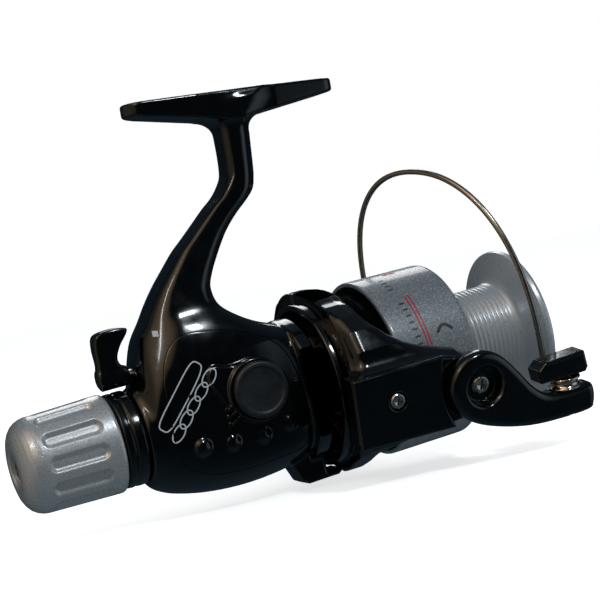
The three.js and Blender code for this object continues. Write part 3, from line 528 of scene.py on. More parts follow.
def foot_field(x, y, z):
    c, s = math.cos(SHAFT_TILT), math.sin(SHAFT_TILT)
    along = (x - FOOT_POINT.x) * c - (z - FOOT_POINT.z) * s
    height = (x - FOOT_POINT.x) * s + (z - FOOT_POINT.z) * c
    reach = np.abs(along)
    thick = np.interp(reach, [9, 31], [7.2, 3.8])
    width = np.interp(reach, [12, 29], [7.1, 5.9])
    plan = np.where(reach > 28, np.hypot((reach - 28) / 4, y / width) * 4 - 4, np.abs(y) - width)
    return smooth_max(plan, np.abs(height + thick / 2) - thick / 2, 0.9)


def housing_outside(x, y, z):
    radius = np.hypot(y, z)
    body = smooth_min(case_field(x, y, z), stem_field(x, y, z), 5)
    body = smooth_max(body, rear_facet(x, y, z), 2.2)
    body = smooth_min(body, foot_field(x, y, z), 5)
    boss = smooth_max(np.hypot(x - CRANK_X, z - CRANK_Z) - 8.5, slab(y, 10, 19.5), 0.8)
    body = smooth_min(body, boss, 1.6)
    lug = smooth_max(polygon(x, z, LUG), np.abs(y) - 4.5, 1.2)
    body = smooth_min(body, lug, 1.2)
    neck = smooth_max(radius - 10.4, slab(x, -80, -48), 0.6)
    nose = smooth_max(radius - 10, slab(x, -8, 8), 0.6)
    flange = smooth_max(radius - 21, slab(x, -5.4, -1.2), 0.8)
    return np.minimum(np.minimum(smooth_min(body, flange, 1.2), neck), nose)


def housing_field(x, y, z):
    radius = np.hypot(y, z)
    room = np.maximum(case_field(x, y, z) + WALL, slab(x, -49, -6))
    room = np.minimum(room, np.maximum(radius - 8.9, slab(x, -90, -54.5)))
    room = np.minimum(room, np.maximum(radius - 5.3, slab(x, -60, -48)))
    room = np.minimum(room, np.maximum(radius - 4.2, slab(x, -8, 20)))
    room = np.minimum(room, np.maximum(radius - 8.3, slab(x, 1.2, 20)))
    room = np.minimum(room, np.maximum(np.hypot(x - CRANK_X, z - CRANK_Z) - 4.8, slab(y, 10, 22)))
    room = np.minimum(room, np.maximum(np.hypot(y, z - LEVER_Z) - 1.6, slab(x, -60, 0)))
    for sx, sz in SCREW_PLACES:
        from_screw = np.hypot(x - sx, z - sz)
        room = np.maximum(room, -np.maximum(from_screw - 2.2, slab(y, -12.6, 13)))
        room = np.minimum(room, np.maximum(from_screw - 1.4, slab(y, -12.4, 30)))
        room = np.minimum(room, np.maximum(from_screw - 2.8, slab(y, 11.4, 30)))
    return np.maximum(housing_outside(x, y, z), -room)


def cover_block(grow, deep):
    """A straight-sided block over the cover's outline, to cut the shell with."""
    centre = np.array((-27, 4))
    outline = []
    for point in rounded(COVER_OUTLINE, 8):
        away = np.array(point) - centre
        outline.append(centre + away * (1 + grow / np.linalg.norm(away)))
    count = len(outline)
    points = [(x, y, z) for y in (-30, deep) for x, z in outline]
    faces = [[k, (k + 1) % count, count + (k + 1) % count, count + k] for k in range(count)]
    faces += [list(range(count))[::-1], list(range(count, 2 * count))]
    return mesh_object("block", points, faces)


TEARDROP = [
    (-11.4, 4.8), (-12.6, 0.6), (-16, -2.8), (-20.5, -4), (-25, -2.6), (-29, 1.2), (-31.6, 6),
    (-33.4, 11.4), (-31.4, 14.4), (-26.6, 13.4), (-20.5, 13.4), (-15.4, 12), (-12.4, 9)]
DOMES = [(-38.8, -6.4), (-30.2, -7.4), (-21.2, -7.9), (-12.9, -6.6)]


def boss_field(x, y, z):
    """The raised parts of the side cover: teardrop, crank ring and four glossy domes."""
    from_crank = np.hypot(x - CRANK_X, z - CRANK_Z)
    plate = smooth_max(polygon(x, z, rounded(TEARDROP, 4)), slab(y, -16.4, -12.9), 1.2)
    hub = smooth_max(from_crank - 9, slab(y, -17.4, -12.6), 0.8)
    body = smooth_min(plate, hub, 0.8)
    for k in (-1, 0, 1):
        rib = smooth_max(slab(z - 0.55 * x, 15.6 + 2.1 * k, 16.5 + 2.1 * k), slab(x, -30.2, -26.6), 0.3)
        body = smooth_min(body, smooth_max(rib, slab(y, -17, -14), 0.3), 0.3)
    for dx, dz in DOMES:
        dome = np.sqrt((x - dx) ** 2 + (y + 12.2) ** 2 + (z - dz) ** 2) - 3.4
        body = np.minimum(body, np.maximum(dome, y + 12.1))
    seat = np.maximum(from_crank - 6.4, slab(y, -20, -15.2))
    bush = np.maximum(from_crank - 4.8, slab(y, -20, -10))
    return np.maximum(np.maximum(body, -seat), -bush)


def side_cover_field(x, y, z):
    """The gear side cover: the case's skin inside the cover's outline, with the boss on it."""
    skin = smooth_min(housing_field(x, y, z), boss_field(x, y, z), 0.5)
    from_crank = np.hypot(x - CRANK_X, z - CRANK_Z)
    skin = np.maximum(skin, -np.maximum(from_crank - 6.4, slab(y, -20, -15.2)))
    skin = np.maximum(skin, -np.maximum(from_crank - 4.8, slab(y, -20, -10)))
    outline = polygon(x, z, rounded(COVER_OUTLINE, 8))
    return smooth_max(np.maximum(skin, y - COVER_PLANE + 0.3), outline, 0.25)


def make_housing():
    low, high = (-81.5, -17, -29), (32, 21, 91)
    shell = mesh_object("body_housing_shell", *moulded(housing_field, low, high, 0.8))
    shell = combine(shell, cover_block(0.12, COVER_PLANE), "DIFFERENCE")
    dress(shell, "housing", BLACK, "gloss_black", "body_housing")
    solid = moulded(side_cover_field, (-48, -19, -18), (-5, -11, 26), 0.4)
    cover = mesh_object("side_cover_shell", *solid)
    dress(cover, "housing", BLACK, "gloss_black", "side_cover")
    return shell, cover


def make_cap():
    ring = [(-15.5, 0), (-15.5, 6), (-17.7, 6), (-17.7, 8), (-19.1, 8), (-19.6, 7.4), (-19.6, 6.5),
            (-19.25, 6.1), (-19.2, 3.2), (-19.3, 0)]
    cap = mesh_object("crank_cap", *turned(ring, "Y", (CRANK_Z, CRANK_X), 0.3))
    dress(cap, "housing", SATIN, "gloss_black", "handle_screw_cap")


def make_collar():
    ring = [(-59.4, 10.7), (-59.4, 12.9), (-58.9, 13.4), (-57.4, 13.5), (-57.1, 13.1), (-56.6, 13.1),
            (-56.2, 13.5), (-54, 13.5), (-53.4, 13.1), (-53.4, 10.7)]
    collar = mesh_object("rear_collar_ring", *turned(ring, "X", fillet=0.2, closed=True))
    dress(collar, "housing", BLACK, "gloss_black", "rear_collar")


# ---- fasteners ----
def cross_screw(name, face, tip, head_r, shank_r, axis, centre, place, body, node, material=None):
    """A cross-head screw whose shank runs from its head towards the tip."""
    way = 1 if tip > face else -1
    ring = [(face + way * 0.12 * head_r, 0), (face, 0.55 * head_r), (face + way * 0.02, 0.76 * head_r),
            (face + way * 0.24 * head_r, head_r), (face + way * 0.45 * head_r, head_r),
            (face + way * 0.45 * head_r, shank_r), (tip, shank_r), (tip, 0)]
    piece = mesh_object(name, *turned(ring, axis, centre, 0.12, 64), place=place)
    along, across, up = AXES[axis]
    for turn in (0.35, 0.35 + math.pi / 2):
        points = []
        for deep, size in ((-1, 1.0), (0.5 * head_r, 0.55)):
            for u, v in ((-1, -1), (1, -1), (1, 1), (-1, 1)):
                a, b = 0.62 * head_r * u * size, 0.13 * head_r * v * size
                point = [0, 0, 0]
                point[along] = face + way * deep
                point[across] = centre[0] + a * math.cos(turn) - b * math.sin(turn)
                point[up] = centre[1] + a * math.sin(turn) + b * math.cos(turn)
                points.append(point)
        faces = [[3, 2, 1, 0], [4, 5, 6, 7]] + [[k, (k + 1) % 4, 4 + (k + 1) % 4, 4 + k] for k in range(4)]
        combine(piece, mesh_object("slot", points, faces, place=place), "DIFFERENCE")
    dress(piece, body, material or SCREW_STEEL, "steel", node)


# ---- rear drag knob ----
KNOB_FLUTES = 12


def make_knob():
    def flute(along, radius, angle):
        if radius < 11.5:
            return radius
        turn = (angle / (2 * math.pi) * KNOB_FLUTES + 0.5) % 1 - 0.5
        sideways = turn * 2 * math.pi / KNOB_FLUTES * 14 / 2.25
        from_end = max(0, abs(along + 72.6) - 6.3) / 2.25
        inside = 1 - math.hypot(sideways, from_end)
        return radius - 1.15 * min(1, max(0, inside) * 2.2) ** 0.7

    outside = [(-59.9, 11), (-59.9, 13.3), (-60.3, 13.9), (-60.9, 14.1)]
    outside += [(-61.4 - 0.42 * i, 14.1 - 0.012 * i) for i in range(50)]
    outside += [(-83.2, 13.3), (-84.6, 12.75), (-85.8, 11.9), (-86.8, 10.7), (-87.5, 9.3), (-87.9, 7.8),
                (-88, 6.4), (-88, 5.3), (-87.6, 4.9), (-85, 4.8), (-85, 1.7), (-83, 1.7), (-83, 10.9),
                (-61, 10.9)]
    knob = turned(outside, "X", fillet=0.12, segments=264, closed=True, radius_at=flute)
    piece = mesh_object("drag_knob_shell", *knob, sharp=55)
    dress(piece, "drag_knob", KNOB_SILVER, "silver_paint", "drag_knob")


# ---- anti-reverse thumb lever ----
def lever_field(x, y, z):
    blade = rounded([(-59, 16), (-58.8, 22), (-58.6, 27), (-57.4, 30), (-53, 30.7), (-49, 30.2),
                     (-48.6, 28.8), (-51.4, 25.4), (-52.8, 22), (-51.4, 18.6), (-51.2, 16)], 4)
    body = smooth_max(polygon(x, z, blade), np.abs(y) - 2.6 - 0.1 * np.clip(z - 22, 0, 9), 1.3)
    boss = smooth_max(np.hypot(y, z - LEVER_Z) - 2.9, slab(x, -59.2, -50.7), 0.7)
    return smooth_min(body, boss, 1.2)


def make_thumb_lever():
    solid = moulded(lever_field, (-61, -6, 12), (-46, 6, 33), 0.42)
    piece = mesh_object("anti_reverse_thumb_lever", *solid)
    dress(piece, "anti_reverse_lever", BLACK, "gloss_black", "anti_reverse_lever")


# ---- rotor, in its own turned frame ----
ARM = [
    (-0.5, 9), (27, 9), (33, 7.4), (41.5, 6), (45.1, 2.6), (46.1, -1.4), (45.1, -5.6), (41.5, -9),
    (33, -10.6), (27, -11), (-0.5, -9.8)]
WEB = [
    (4.6, 24), (11, 24), (13, 20.7), (16.5, 16.7), (20.5, 13.7), (26, 10.9), (34, 8.2), (34, -9.4),
    (26, -12), (20.5, -14.4), (13, -18), (4.6, -18)]
WEB_SECTION = [
    (13, 24.4), (19, 23), (25, 19.8), (28.8, 14.6), (30.5, 9), (30.5, -10), (28, -14.6), (24, -17),
    (13, -19)]
ARM_INNER, ARM_OUTER = 28.3, 34.3
ROTOR_R, SHOULDER_R = 22.7, 27
REAR_BORE, FRONT_BORE = 22.3, 20.8
SKIRT_CLEAR = 27.3
ARM_SCREW = (11.8, 0.6)


def rotor_field(x, y, z):
    radius = np.hypot(y, z)
    side = np.abs(y)
    cup = smooth_max(radius - np.interp(x, [0.8, 13, 17], [24, 24, ROTOR_R]), slab(x, 0.8, 38), 0.7)
    shoulder = radius - np.interp(x, [9, 11, 13, 15.6, 17.4], [SHOULDER_R, 26.5, 25.2, 23.1, 22.5])
    cup = smooth_min(cup, smooth_max(shoulder, slab(x, 4.5, 18), 0.8), 0.4)
    web = smooth_max(polygon(x, z, WEB), polygon(side, z, WEB_SECTION), 3)
    arm = smooth_max(polygon(x, z, ARM), slab(side, ARM_INNER, ARM_OUTER), 1.0)
    limb = smooth_max(smooth_min(web, arm, 4), -np.maximum(radius - SKIRT_CLEAR, slab(x, 18.75, 62)), 0.4)
    body = smooth_min(cup, limb, 5)
    back = np.maximum(radius - REAR_BORE, slab(x, -5, 13))
    middle = np.maximum(radius - FRONT_BORE, slab(x, 10, 33.8))
    front = np.maximum(radius - 19.4, slab(x, 30, 35.6))
    hub = smooth_max(radius - np.interp(x, [14, 33.4, 35.6], [6, 7.4, 9.6]), slab(x, 14, 40), 0.4)
    lug_way = np.maximum(np.abs(radius - 26.1) - 1.9, slab(x, -3, 4.3))
    body = smooth_max(body, -lug_way, 0.3)
    hollow = np.maximum(np.minimum(np.minimum(back, middle), front), -hub)
    body = np.maximum(body, -hollow)
    body = np.maximum(body, -np.maximum(radius - 3.3, slab(x, -5, 50)))
    pocket = np.maximum(np.maximum(slab(x, 2, 26), slab(z, -6.5, 5.6)), slab(side, 29.6, 40))
    body = np.maximum(body, -pocket)
    pin = np.maximum(np.hypot(x - PIVOT_X, z - PIVOT_Z) - 1.9, slab(side, 20, 40))
    post = np.maximum(np.hypot(x - ARM_SCREW[0], z - ARM_SCREW[1]) - 1.5, slab(side, 28.9, 40))
    return np.maximum(np.maximum(body, -pin), -post)


def make_rotor():
    piece = mesh_object("rotor_casting", *moulded(rotor_field, (-3, -36, -26), (48, 36, 26), 0.66),
                        place=ROTOR)
    dress(piece, "rotor", BLACK, "gloss_black", "rotor")


COVER = [
    (-1, 9.6), (27.8, 9.6), (26.9, 5), (26.4, 1), (26.4, -3), (27, -6.5), (28.8, -11.8), (-1, -10.6)]


def cover_field(x, y, z):
    plate = smooth_max(polygon(x, z, COVER), slab(y, -36.4, -34.6), 1.1)
    from_screw = np.hypot(x - ARM_SCREW[0], z - ARM_SCREW[1])
    plate = smooth_max(plate, -np.maximum(from_screw - 2.75, y + 35), 0.35)
    return np.maximum(plate, -(from_screw - 1.5))


def mirrored(field):
    return lambda x, y, z: field(x, -y, z)


def make_arm_covers():
    for side, name in ((1, "near"), (-1, "far")):
        field = cover_field if side == 1 else mirrored(cover_field)
        low = (-2, -37.4, -12.5) if side == 1 else (-2, 33.6, -12.5)
        high = (30, -33.6, 10.5) if side == 1 else (30, 37.4, 10.5)
        piece = mesh_object(f"arm_cover_plate_{name}", *moulded(field, low, high, 0.4), place=ROTOR)
        dress(piece, "rotor", BLACK, "gloss_black", f"arm_cover_{name}")
        cross_screw(f"arm_cover_fastener_{name}", -36.3 * side, -29.4 * side, 2.45, 1.2, "Y",
                    (ARM_SCREW[1], ARM_SCREW[0]), ROTOR, "rotor", f"arm_cover_screw_{name}")
    for side, face, name in ((1, 37.3, "near"), (-1, 37.3, "far")):
        cross_screw(f"bail_pivot_fastener_{name}", -face * side, -26.5 * side, 2.9, 1.6, "Y",
                    (PIVOT_Z, PIVOT_X), ROTOR, "rotor", f"bail_pivot_screw_{name}")


# ---- bail: levers, wire, holder and roller ----
LEVER = [
    (26.9, -1.4), (27.8, 2.6), (30.4, 5.9), (34, 7.9), (38, 8.4), (42, 7), (45.4, 4), (49, -0.6),
    (52.4, -5.4), (56.2, -8.8), (60, -9.8), (66, -9.9), (71.4, -9.8), (72.6, -12), (72.2, -15.6),
    (70.4, -17.4), (60.8, -17.6), (50.7, -16.8), (41, -14.4), (33.5, -11.2), (29, -7)]


def roller_arm_field(x, y, z):
    from_pivot = np.hypot(x - PIVOT_X, z - PIVOT_Z)
    outline = polygon(x, z, rounded(LEVER, 4)) - 0.3
    inner = np.interp(x, [57, 59], [-34.6, -33])
    thick = np.maximum(-39.9 - y, y - inner)
    body = smooth_max(outline, thick, 2.4)
    relief = np.maximum(np.maximum(slab(x, 30, 57.6), y - 0), -(y + 36.7))
    relief = np.maximum(relief, 10.9 - from_pivot)
    body = smooth_max(body, -relief, 0.4)
    bowl = from_pivot - np.interp(y, [-40.2, -39, -36], [6.3, 5.5, 5.0])
    body = smooth_max(body, -np.maximum(bowl, y + 36), 0.5)
    body = np.maximum(body, -(from_pivot - 1.9))
    from_roller = np.hypot(x - ROLLER_X, y - ROLLER_Y)
    body = np.maximum(body, -(from_roller - 1.6))
    return np.maximum(body, -np.maximum(from_roller - 2.5, z + 15.4))


def holder_field(x, y, z):
    outline = [(55.6, -5.9), (70.4, -5.9), (71.4, -4.6), (70.7, 0.4), (57.4, 0), (55, -2)]
    body = smooth_max(polygon(x, z, outline), slab(y, -39.8, -32.8), 1.0)
    body = smooth_max(body, -(np.hypot(x - 58.9, y + 36) - 1.15), 0.3)
    return np.maximum(body, -np.maximum(np.hypot(x - ROLLER_X, y - ROLLER_Y) - 1.6, z + 1.4))


def wire_point(share):
    """Half a squared ellipse from the holder to the far arm, leaning back and bulging outwards."""
    near, far = np.array((58.9, -36, -3.8)), np.array((43.7, 36, -6.3))
    height, squareness, shift = 59.5, 2.15, 8.3
    lean = math.radians(95.7)
    across = far - near
    half = np.linalg.norm(across) / 2
    across = across / (2 * half)
    up = np.array((math.cos(lean), 0, math.sin(lean)))
    up -= across * up.dot(across)
    up /= np.linalg.norm(up)
    angle = (0.004 + (0.93 - 0.004) * share) * math.pi
    c = -math.copysign(abs(math.cos(angle)) ** (2 / squareness), math.cos(angle))
    s = math.sin(angle) ** (2 / squareness)
    return (near + far) / 2 + across * (half * c + shift * s * c) + up * height * s


def far_arm_field(x, y, z):
    from_pivot = np.hypot(x - PIVOT_X, z - PIVOT_Z)
    disc = smooth_max(from_pivot - 7.6, slab(y, 34.6, 39), 1.2)
    stub = smooth_max(polygon(x, z, [(35, 4), (44, 0), (44.6, 12.4), (38, 12.8)]), slab(y, 35.4, 40), 1.2)
    body = smooth_min(disc, stub, 1.5)
    body = smooth_max(body, -np.maximum(from_pivot - 5, 36 - y), 0.4)
    end = wire_point(1)
    socket = np.maximum(np.hypot(x - end[0], y - end[1]) - 1.25, end[2] - 0.6 - z)
    return np.maximum(np.maximum(body, -(from_pivot - 1.9)), -socket)


def make_bail():
    arm = moulded(roller_arm_field, (25, -41, -19), (74, -32, 10), 0.42)
    dress(mesh_object("roller_lever", *arm, place=ROTOR), "bail", BLACK, "gloss_black", "roller_arm")
    block = moulded(holder_field, (53.5, -41, -7.5), (73, -31.5, 2), 0.36)
    dress(mesh_object("wire_holder_block", *block, place=ROTOR), "bail", BLACK, "gloss_black",
          "wire_holder")
    far = moulded(far_arm_field, (28, 33.5, -11), (47, 41.5, 14.5), 0.42)
    dress(mesh_object("far_lever", *far, place=ROTOR), "bail", BLACK, "gloss_black", "far_bail_arm")
    wire = mesh_object("bail_wire_loop", *swept(wire_point, 0.85), place=ROTOR)
    dress(wire, "bail", WIRE_STEEL, "steel", "bail_wire")
    ring = [(-9.5, 1.6), (-9.5, 4.6), (-9.1, 4.8), (-8.5, 4.1), (-7.9, 3.9), (-7.4, 4.05), (-6.7, 4.75),
            (-6.2, 4.6), (-6.2, 1.6)]
    roller = turned(ring, "Z", (ROLLER_X, ROLLER_Y), 0.2, closed=True)
    dress(mesh_object("line_roller_wheel", *roller, place=ROTOR), "line_roller", ROLLER_METAL, "brass",
          "line_roller")
    cross_screw("line_roller_fastener", -17, -1.7, 2.2, 1.3, "Z", (ROLLER_X, ROLLER_Y), ROTOR, "bail",
                "line_roller_screw")


# ---- spool ----
DRUM_GROOVES = 12


def make_spool():
    outside = [
        (72, 5), (72, 9), (71.6, 9.6), (70.6, 11.5), (70.4, 13), (70.4, 21.6), (71.1, 22.3),
        (71.4, 22.9), (71.2, 23.5), (70.2, 23.9), (69, 23.7), (68.3, 22), (67.6, 20), (66.9, 18),
        (66.4, 16.6), (65.8, 15.5), (65.2, 14.9), (64.6, 14.6)]
    for i in range(DRUM_GROOVES):
        at = 64 - i * 1.5
        outside += [(at, 14.6), (at - 0.35, 14.25), (at - 0.75, 14.15), (at - 1.15, 14.25)]
    outside += [(45.6, 14.6), (45, 15), (44.6, 15.8), (44.5, 18), (44.4, 24.6), (44.2, 25.2),
                (43.6, 25.75), (42.8, 25.9), (20.6, 26.1), (20, 26), (19.8, 25.6)]
    inside = [(19.8, 24.9), (42, 24.7), (42, 13), (62, 13), (62, 6.5), (44, 6.5), (44, 2.3),
              (65, 2.3), (65, 5)]
    solid = turned(outside + inside, "X", fillet=0.15, segments=192, closed=True)
    piece = mesh_object("spool_body", *solid, sharp=32)
    dress(piece, "spool_unit", SKIRT_SILVER, "silver_paint", "spool")
    drum = metal("drum_silver", (0.46, 0.48, 0.5), (0.42, 0.44, 0.46), 0.26, 0.34, (1, 1, 1), 700, 0.4)
    piece.data.materials.append(drum)
    inverse = SHAFT.inverted()
    for face in piece.data.polygons:
        along = (inverse @ face.center).x
        if along > 44.5:
            face.material_index = 1
    button = [(67, 0), (67, 4.6), (74.8, 4.6), (75.6, 4.4), (76.3, 3.8), (76.8, 2.6), (77, 1.2), (77, 0)]
    dress(mesh_object("spool_button", *turned(button, "X", fillet=0.2)), "release_button", SATIN,
          "satin_black", "spool_release_button")
    return piece


# ---- crank handle ----
HANDLE_LINE = [(-2.2, 28), (7, 28.4), (15.4, 38.6), (20, 42.2), (46, 45.4)]


def handle_arm_field(x, y, z):
    line = HANDLE_LINE
    outline = [(u, v + 2.2) for u, v in line] + [(u, v - 2.2) for u, v in line[::-1]]
    width = 3 + 0.5 * np.clip((x - 20) / 26, 0, 1)
    body = smooth_max(polygon(x, y, outline), np.abs(z) - width, 1.0)
    end = smooth_max(np.hypot(x - 46, z) - 6, slab(y, 43.2, 47.6), 0.9)
    body = smooth_min(body, end, 1.0)
    body = np.maximum(body, -(np.hypot(x, y - 28) - 1.4))
    return np.maximum(body, -np.maximum(np.hypot(x - 46, z) - 1.8, slab(y, 30, 60)))


def handle_hub_field(x, y, z):
    radius = np.hypot(x, z)
    body = smooth_max(radius - np.interp(y, [20.2, 22, 31.2], [6.2, 6.2, 5.8]), slab(y, 20.2, 31.2), 0.8)
    ring = np.hypot(radius - 6.3, y - 23.4) - 0.45
    body = smooth_max(body, -ring, 0.2)
    body = smooth_max(body, -np.maximum(np.abs(z) - 3.3, 24.6 - y), 0.3)
    body = np.maximum(body, -(np.hypot(x, y - 28) - 1.4))
    return np.maximum(body, -np.maximum(radius - 2.8, y - 26))


def make_handle():
    arm = moulded(handle_arm_field, (-6, 24, -7.5), (53.5, 49, 7.5), 0.5)
    dress(mesh_object("crank_arm", *arm, place=HANDLE), "handle", BLACK, "gloss_black", "handle_arm")
    hub = moulded(handle_hub_field, (-7.2, 19, -7.2), (7.2, 32.5, 7.2), 0.42)
    dress(mesh_object("crank_hub", *hub, place=HANDLE), "crank", SATIN, "satin_black", "handle_hub")

    def grip(along, radius, angle):
        if radius < 5.5 or not 50 < along < 72:
            return radius
        fade = min(1, (along - 50) / 2, (72 - along) / 2)
        return radius - 0.25 * (0.5 + 0.5 * math.cos(24 * angle)) * fade

    ring = [(48, 1.8), (48, 5.8), (48.6, 6.8), (49.6, 7), (51, 6.7), (52.4, 6.45), (54, 6.4), (56, 6.55),
            (58, 6.8), (60, 7.2), (62, 7.7), (64, 8.25), (66, 8.7), (68, 8.95), (70, 9), (71.6, 8.8),
            (73, 8.2), (74.2, 7.4), (75, 6.2), (75.6, 4.8), (76, 3), (76, 0)]
    knob = turned(ring, "Y", (0, 46), 0.2, 192, radius_at=grip)
    dress(mesh_object("crank_knob_grip", *knob, place=HANDLE), "handle_knob", RUBBER, "satin_black",
          "handle_knob")
    shaft = [(41.4, 0), (41.4, 2.2), (41.7, 2.8), (42.7, 2.8), (42.7, 1.5), (73, 1.5), (73, 0)]
    dress(mesh_object("crank_knob_spindle", *turned(shaft, "Y", (0, 46), 0.15), place=HANDLE), "handle",
          STEEL, "steel", "handle_knob_spindle")
    pin = [(-5.2, 0), (-5.2, 0.9), (-5, 1.1), (5, 1.1), (5.2, 0.9), (5.2, 0)]
    dress(mesh_object("crank_fold_pin", *turned(pin, "Z", (0, 28), 0.1), place=HANDLE), "crank", STEEL,
          "steel", "handle_fold_pin")


# ---- printed marks: thin raised ink laid on the surface below it ----
INK = 0.05
PRINT_WIDTH = 0.36
DASH_WIDTH = 0.5
DASH_ENDS = (26.4, 28)


def ink_line(name, points, width, targets, toward, body, material, closed=False):
    """A thin strip along points (in the shaft's frame), laid on the surface that they face."""
    seen = bpy.context.evaluated_depsgraph_get()
    trees = [BVHTree.FromObject(target, seen) for target in targets]
    count = len(points)
    path = [np.array(p, float) for p in points]
    rows = []
    direction = (SHAFT.to_3x3() @ Vector(toward)).normalized()
    for i, here in enumerate(path):
        ahead = path[(i + 1) % count] if closed else path[min(i + 1, count - 1)]
        back = path[i - 1] if closed else path[max(i - 1, 0)]
        along = ahead - back
        side = np.cross(along, np.array(toward))
        side = side / max(np.linalg.norm(side), 1e-9) * width / 2
        row = []
        for share in (-1, 0, 1):
            start = SHAFT @ Vector(here + side * share)
            hits = [tree.ray_cast(start, direction) for tree in trees]
            hit, normal, _, _ = min((h for h in hits if h[0] is not None), key=lambda h: h[3])
            row.append((hit, normal))
        rows.append(row)
    top = [[hit + normal * INK * MM for hit, normal in row] for row in rows]
    low = [[hit - normal * INK * MM for hit, normal in row] for row in rows]
    verts = []
    for a, b in zip(top, low):
        verts += [a[0], a[1], a[2], b[2], b[0]]
    faces = []
    for i in range(count if closed else count - 1):
        j = (i + 1) % count
        for k in range(5):
            faces.append([5 * i + k, 5 * i + (k + 1) % 5, 5 * j + (k + 1) % 5, 5 * j + k])
    if not closed:
        faces += [[0, 1, 2, 3, 4], [5 * (count - 1) + k for k in (4, 3, 2, 1, 0)]]
    piece = mesh_object(name, verts, faces, place=Matrix.Identity(4))
    piece.data.materials.append(material)
    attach(piece, body)
    return piece


def ellipse(centre, half_long, half_short, turn, power=2, count=36):
    """An upright squared ellipse beside the case, turned and centred on x and z."""
    points = []
    for k in range(count):
        angle = 2 * math.pi * k / count
        c, s = math.cos(angle), math.sin(angle)
        a = half_long * math.copysign(abs(c) ** (2 / power), c)
        b = half_short * math.copysign(abs(s) ** (2 / power), s)
        points.append((centre[0] + a * math.cos(turn) - b * math.sin(turn), -25,
                       centre[1] + a * math.sin(turn) + b * math.cos(turn)))
    return points


def on_skirt(along, degrees):
    """A point just outside the spool's skirt."""
    angle = math.radians(degrees)
    return (along, 28 * math.cos(angle), 28 * math.sin(angle))


def make_marks(shell, cover, spool):
    """Plain printed marks: a bar, linked ovals and a pointer on the case, lines on the skirt."""
    turn = math.radians(48)
    case = (shell, cover)
    bar = ellipse((-41.8, 8.6), 10.4, 2.1, turn, 4, 72)
    ink_line("case_print_bar", bar, PRINT_WIDTH, case, (0, 1, 0), "housing", PRINT_WHITE, True)
    for k in range(5):
        centre = (-44.6 + 2.9 * k, -1 + 3.15 * k)
        ink_line(f"case_print_oval_{k + 1}", ellipse(centre, 2.75, 1.45, turn), PRINT_WIDTH, case,
                 (0, 1, 0), "housing", PRINT_WHITE, True)
    pointer = [(-43, -25, 25.9), (-42.7, -25, 27.5)]
    ink_line("case_print_pointer", pointer, 1.3, case, (0, 1, 0), "housing", PRINT_WHITE)
    lean = math.radians(150)
    inward = (0, -math.cos(lean), -math.sin(lean))
    for k, along in enumerate((29.4, 30.5)):
        arc = [on_skirt(along, 134 + 2.5 * i) for i in range(20)]
        ink_line(f"skirt_print_line_{k + 1}", arc, DASH_WIDTH, (spool,), inward, "spool_unit", PRINT_RED)
    for k in range(9):
        dash = [on_skirt(along, 139 + 4.6 * k) for along in DASH_ENDS]
        ink_line(f"skirt_print_dash_{k + 1}", dash, DASH_WIDTH, (spool,), inward, "spool_unit",
                 PRINT_BLACK)
    arch = [on_skirt(33.5 + 0.55 * i, 163 - 4 * math.sin(math.pi * i / 9)) for i in range(10)]
    ink_line("skirt_print_arch", arch, 0.9, (spool,), inward, "spool_unit", PRINT_BLACK)
    for k in range(4):
        dash = [on_skirt(along, 110 + 4.2 * k) for along in DASH_ENDS]
        ink_line(f"skirt_print_top_dash_{k + 1}", dash, DASH_WIDTH, (spool,), (0, 0.3, -1),
                 "spool_unit", PRINT_BLACK)
    spot = [on_skirt(30.4 + 0.9 * i, 99) for i in range(5)]
    ink_line("skirt_print_spot", spot, 2.4, (spool,), (0, 0.1, -1), "spool_unit", PRINT_RED)


# ---- camera, lights, floor ----
# Each patch of the room is the way it faces, where it starts and is full, and its colour.
ROOM_PATCHES = [
    ((0.1, 0.1, 1), 0.5, 1.0, (0.06, 0.09, 0.12)),
    ((-0.62, -0.35, 0.66), 0.76, 0.97, (1.4, 1.0, 0.64)),
    ((-1, 0.1, 0.05), 0.5, 1.0, (0.3, 0.24, 0.17)),
    ((0.85, -0.5, 0), 0.84, 1.0, (0.5, 0.6, 0.7)),
    ((0, 0, -1), 0.3, 1.0, (0.06, 0.1, 0.13))]
FILL = 0.42


def make_camera():
    camera = bpy.data.objects.new("camera", bpy.data.cameras.new("camera"))
    camera.data.lens = 99
    camera.data.sensor_width = 36
    camera.data.clip_start = 0.01
    right = Vector((0.91053, -0.37801, -0.16745)).normalized()
    forward = Vector((0.37854, 0.92510, -0.03003)).normalized()
    up = right.cross(forward).normalized()
    turn = Matrix((right, up, -forward)).transposed()
    camera.matrix_world = Matrix.Translation((-0.16999, -0.44407, -0.04815)) @ turn.to_4x4()
    bpy.context.scene.collection.objects.link(camera)
    bpy.context.scene.camera = camera


def area_light(name, place, target, size, power, colour):
    data = bpy.data.lights.new(name, "AREA")
    data.shape = "RECTANGLE"
    data.size, data.size_y = size
    data.energy = power
    data.color = colour
    light = bpy.data.objects.new(name, data)
    light.location = place
    light.rotation_euler = (Vector(target) - Vector(place)).to_track_quat("-Z", "Y").to_euler()
    bpy.context.scene.collection.objects.link(light)


def tinted_patch(tree, direction, toward, low, high, colour, below):
    """Adds a soft patch of colour to the room, on the side that it faces."""
    dot = tree.nodes.new("ShaderNodeVectorMath")
    dot.operation = "DOT_PRODUCT"
    dot.inputs[1].default_value = Vector(toward).normalized()
    tree.links.new(direction, dot.inputs[0])
    share = spread(tree, dot.outputs["Value"], 0, 1, low, high)
    mix = tree.nodes.new("ShaderNodeMix")
    mix.data_type = "RGBA"
    mix.inputs["B"].default_value = (*colour, 1)
    tree.links.new(share, mix.inputs["Factor"])
    tree.links.new(below, mix.inputs["A"])
    return mix.outputs["Result"]


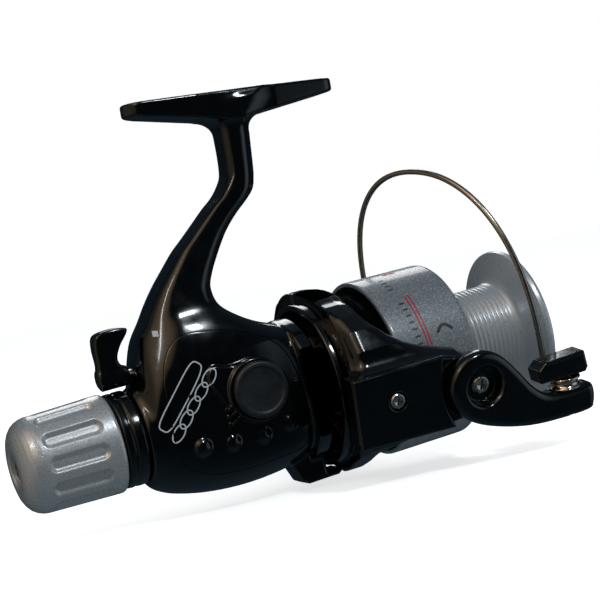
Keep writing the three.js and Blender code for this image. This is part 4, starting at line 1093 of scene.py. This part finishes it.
def make_studio():
    """A white backdrop that lights the reel, seen by its gloss as a darker room."""
    bpy.context.scene.view_settings.view_transform = "Standard"
    world = bpy.data.worlds.new("studio")
    bpy.context.scene.world = world
    world.use_nodes = True
    tree = world.node_tree
    fill = tree.nodes["Background"]
    fill.inputs["Color"].default_value = (0.88, 0.96, 1, 1)
    fill.inputs["Strength"].default_value = FILL
    direction = tree.nodes.new("ShaderNodeTexCoord").outputs["Generated"]
    base = tree.nodes.new("ShaderNodeRGB")
    base.outputs["Color"].default_value = (0.012, 0.02, 0.028, 1)
    room = base.outputs["Color"]
    for toward, low, high, colour in ROOM_PATCHES:
        room = tinted_patch(tree, direction, toward, low, high, colour, room)
    dim = tree.nodes.new("ShaderNodeBackground")
    tree.links.new(room, dim.inputs["Color"])
    white = tree.nodes.new("ShaderNodeBackground")
    white.inputs["Color"].default_value = (1, 1, 1, 1)
    path = tree.nodes.new("ShaderNodeLightPath")
    shade = fill.outputs["Background"]
    for ray, other in (("Is Glossy Ray", dim), ("Is Camera Ray", white)):
        mix = tree.nodes.new("ShaderNodeMixShader")
        tree.links.new(path.outputs[ray], mix.inputs["Fac"])
        tree.links.new(shade, mix.inputs[1])
        tree.links.new(other.outputs["Background"], mix.inputs[2])
        shade = mix.outputs["Shader"]
    tree.links.new(shade, tree.nodes["World Output"].inputs["Surface"])
    centre = (0, 0, -0.07)
    area_light("window", (0.25, -0.8, 0.75), centre, (0.1, 0.16), 4, (0.86, 0.95, 1))
    area_light("strip", (-0.62, -0.5, 0.62), centre, (0.03, 0.3), 0.8, (0.9, 0.96, 1))
    area_light("back", (0.3, 0.8, 0.5), centre, (0.5, 0.4), 2, (1, 1, 1))


def make_floor():
    low = min(cad_box[0][2], 0) - 0.0015
    size = 3.0
    mesh = bpy.data.meshes.new("floor")
    mesh.from_pydata([(-size, -size, low), (size, -size, low), (size, size, low), (-size, size, low)],
                     [], [(0, 1, 2, 3)])
    floor = bpy.data.objects.new("floor", mesh)
    bpy.context.scene.collection.objects.link(floor)
    material = plain("floor_paint", (0.9, 0.9, 0.9), (0.88, 0.88, 0.88), 0.7, 30)
    shader = material.node_tree.nodes["Principled BSDF"]
    shader.inputs["Emission Color"].default_value = (1, 1, 1, 1)
    shader.inputs["Emission Strength"].default_value = 0.68
    mesh.materials.append(material)
    floor.visible_glossy = False
    floor.visible_diffuse = False


make_camera()
make_studio()
make_floor()
shell, cover = make_housing()
make_cap()
make_collar()
for number, (sx, sz) in enumerate(SCREW_PLACES):
    cross_screw(f"cover_fastener_{number + 1}", 13.3, -12.2, 2.3, 1.1, "Y", (sz, sx), SHAFT, "housing",
                f"cover_screw_{number + 1}")
make_knob()
cross_screw("drag_knob_fastener", -87.2, -80, 3.3, 1.3, "X", (0, 0), SHAFT, "drag_knob", "drag_knob_screw")
make_thumb_lever()
make_rotor()
make_arm_covers()
make_bail()
spool = make_spool()
make_handle()
make_marks(shell, cover, spool)
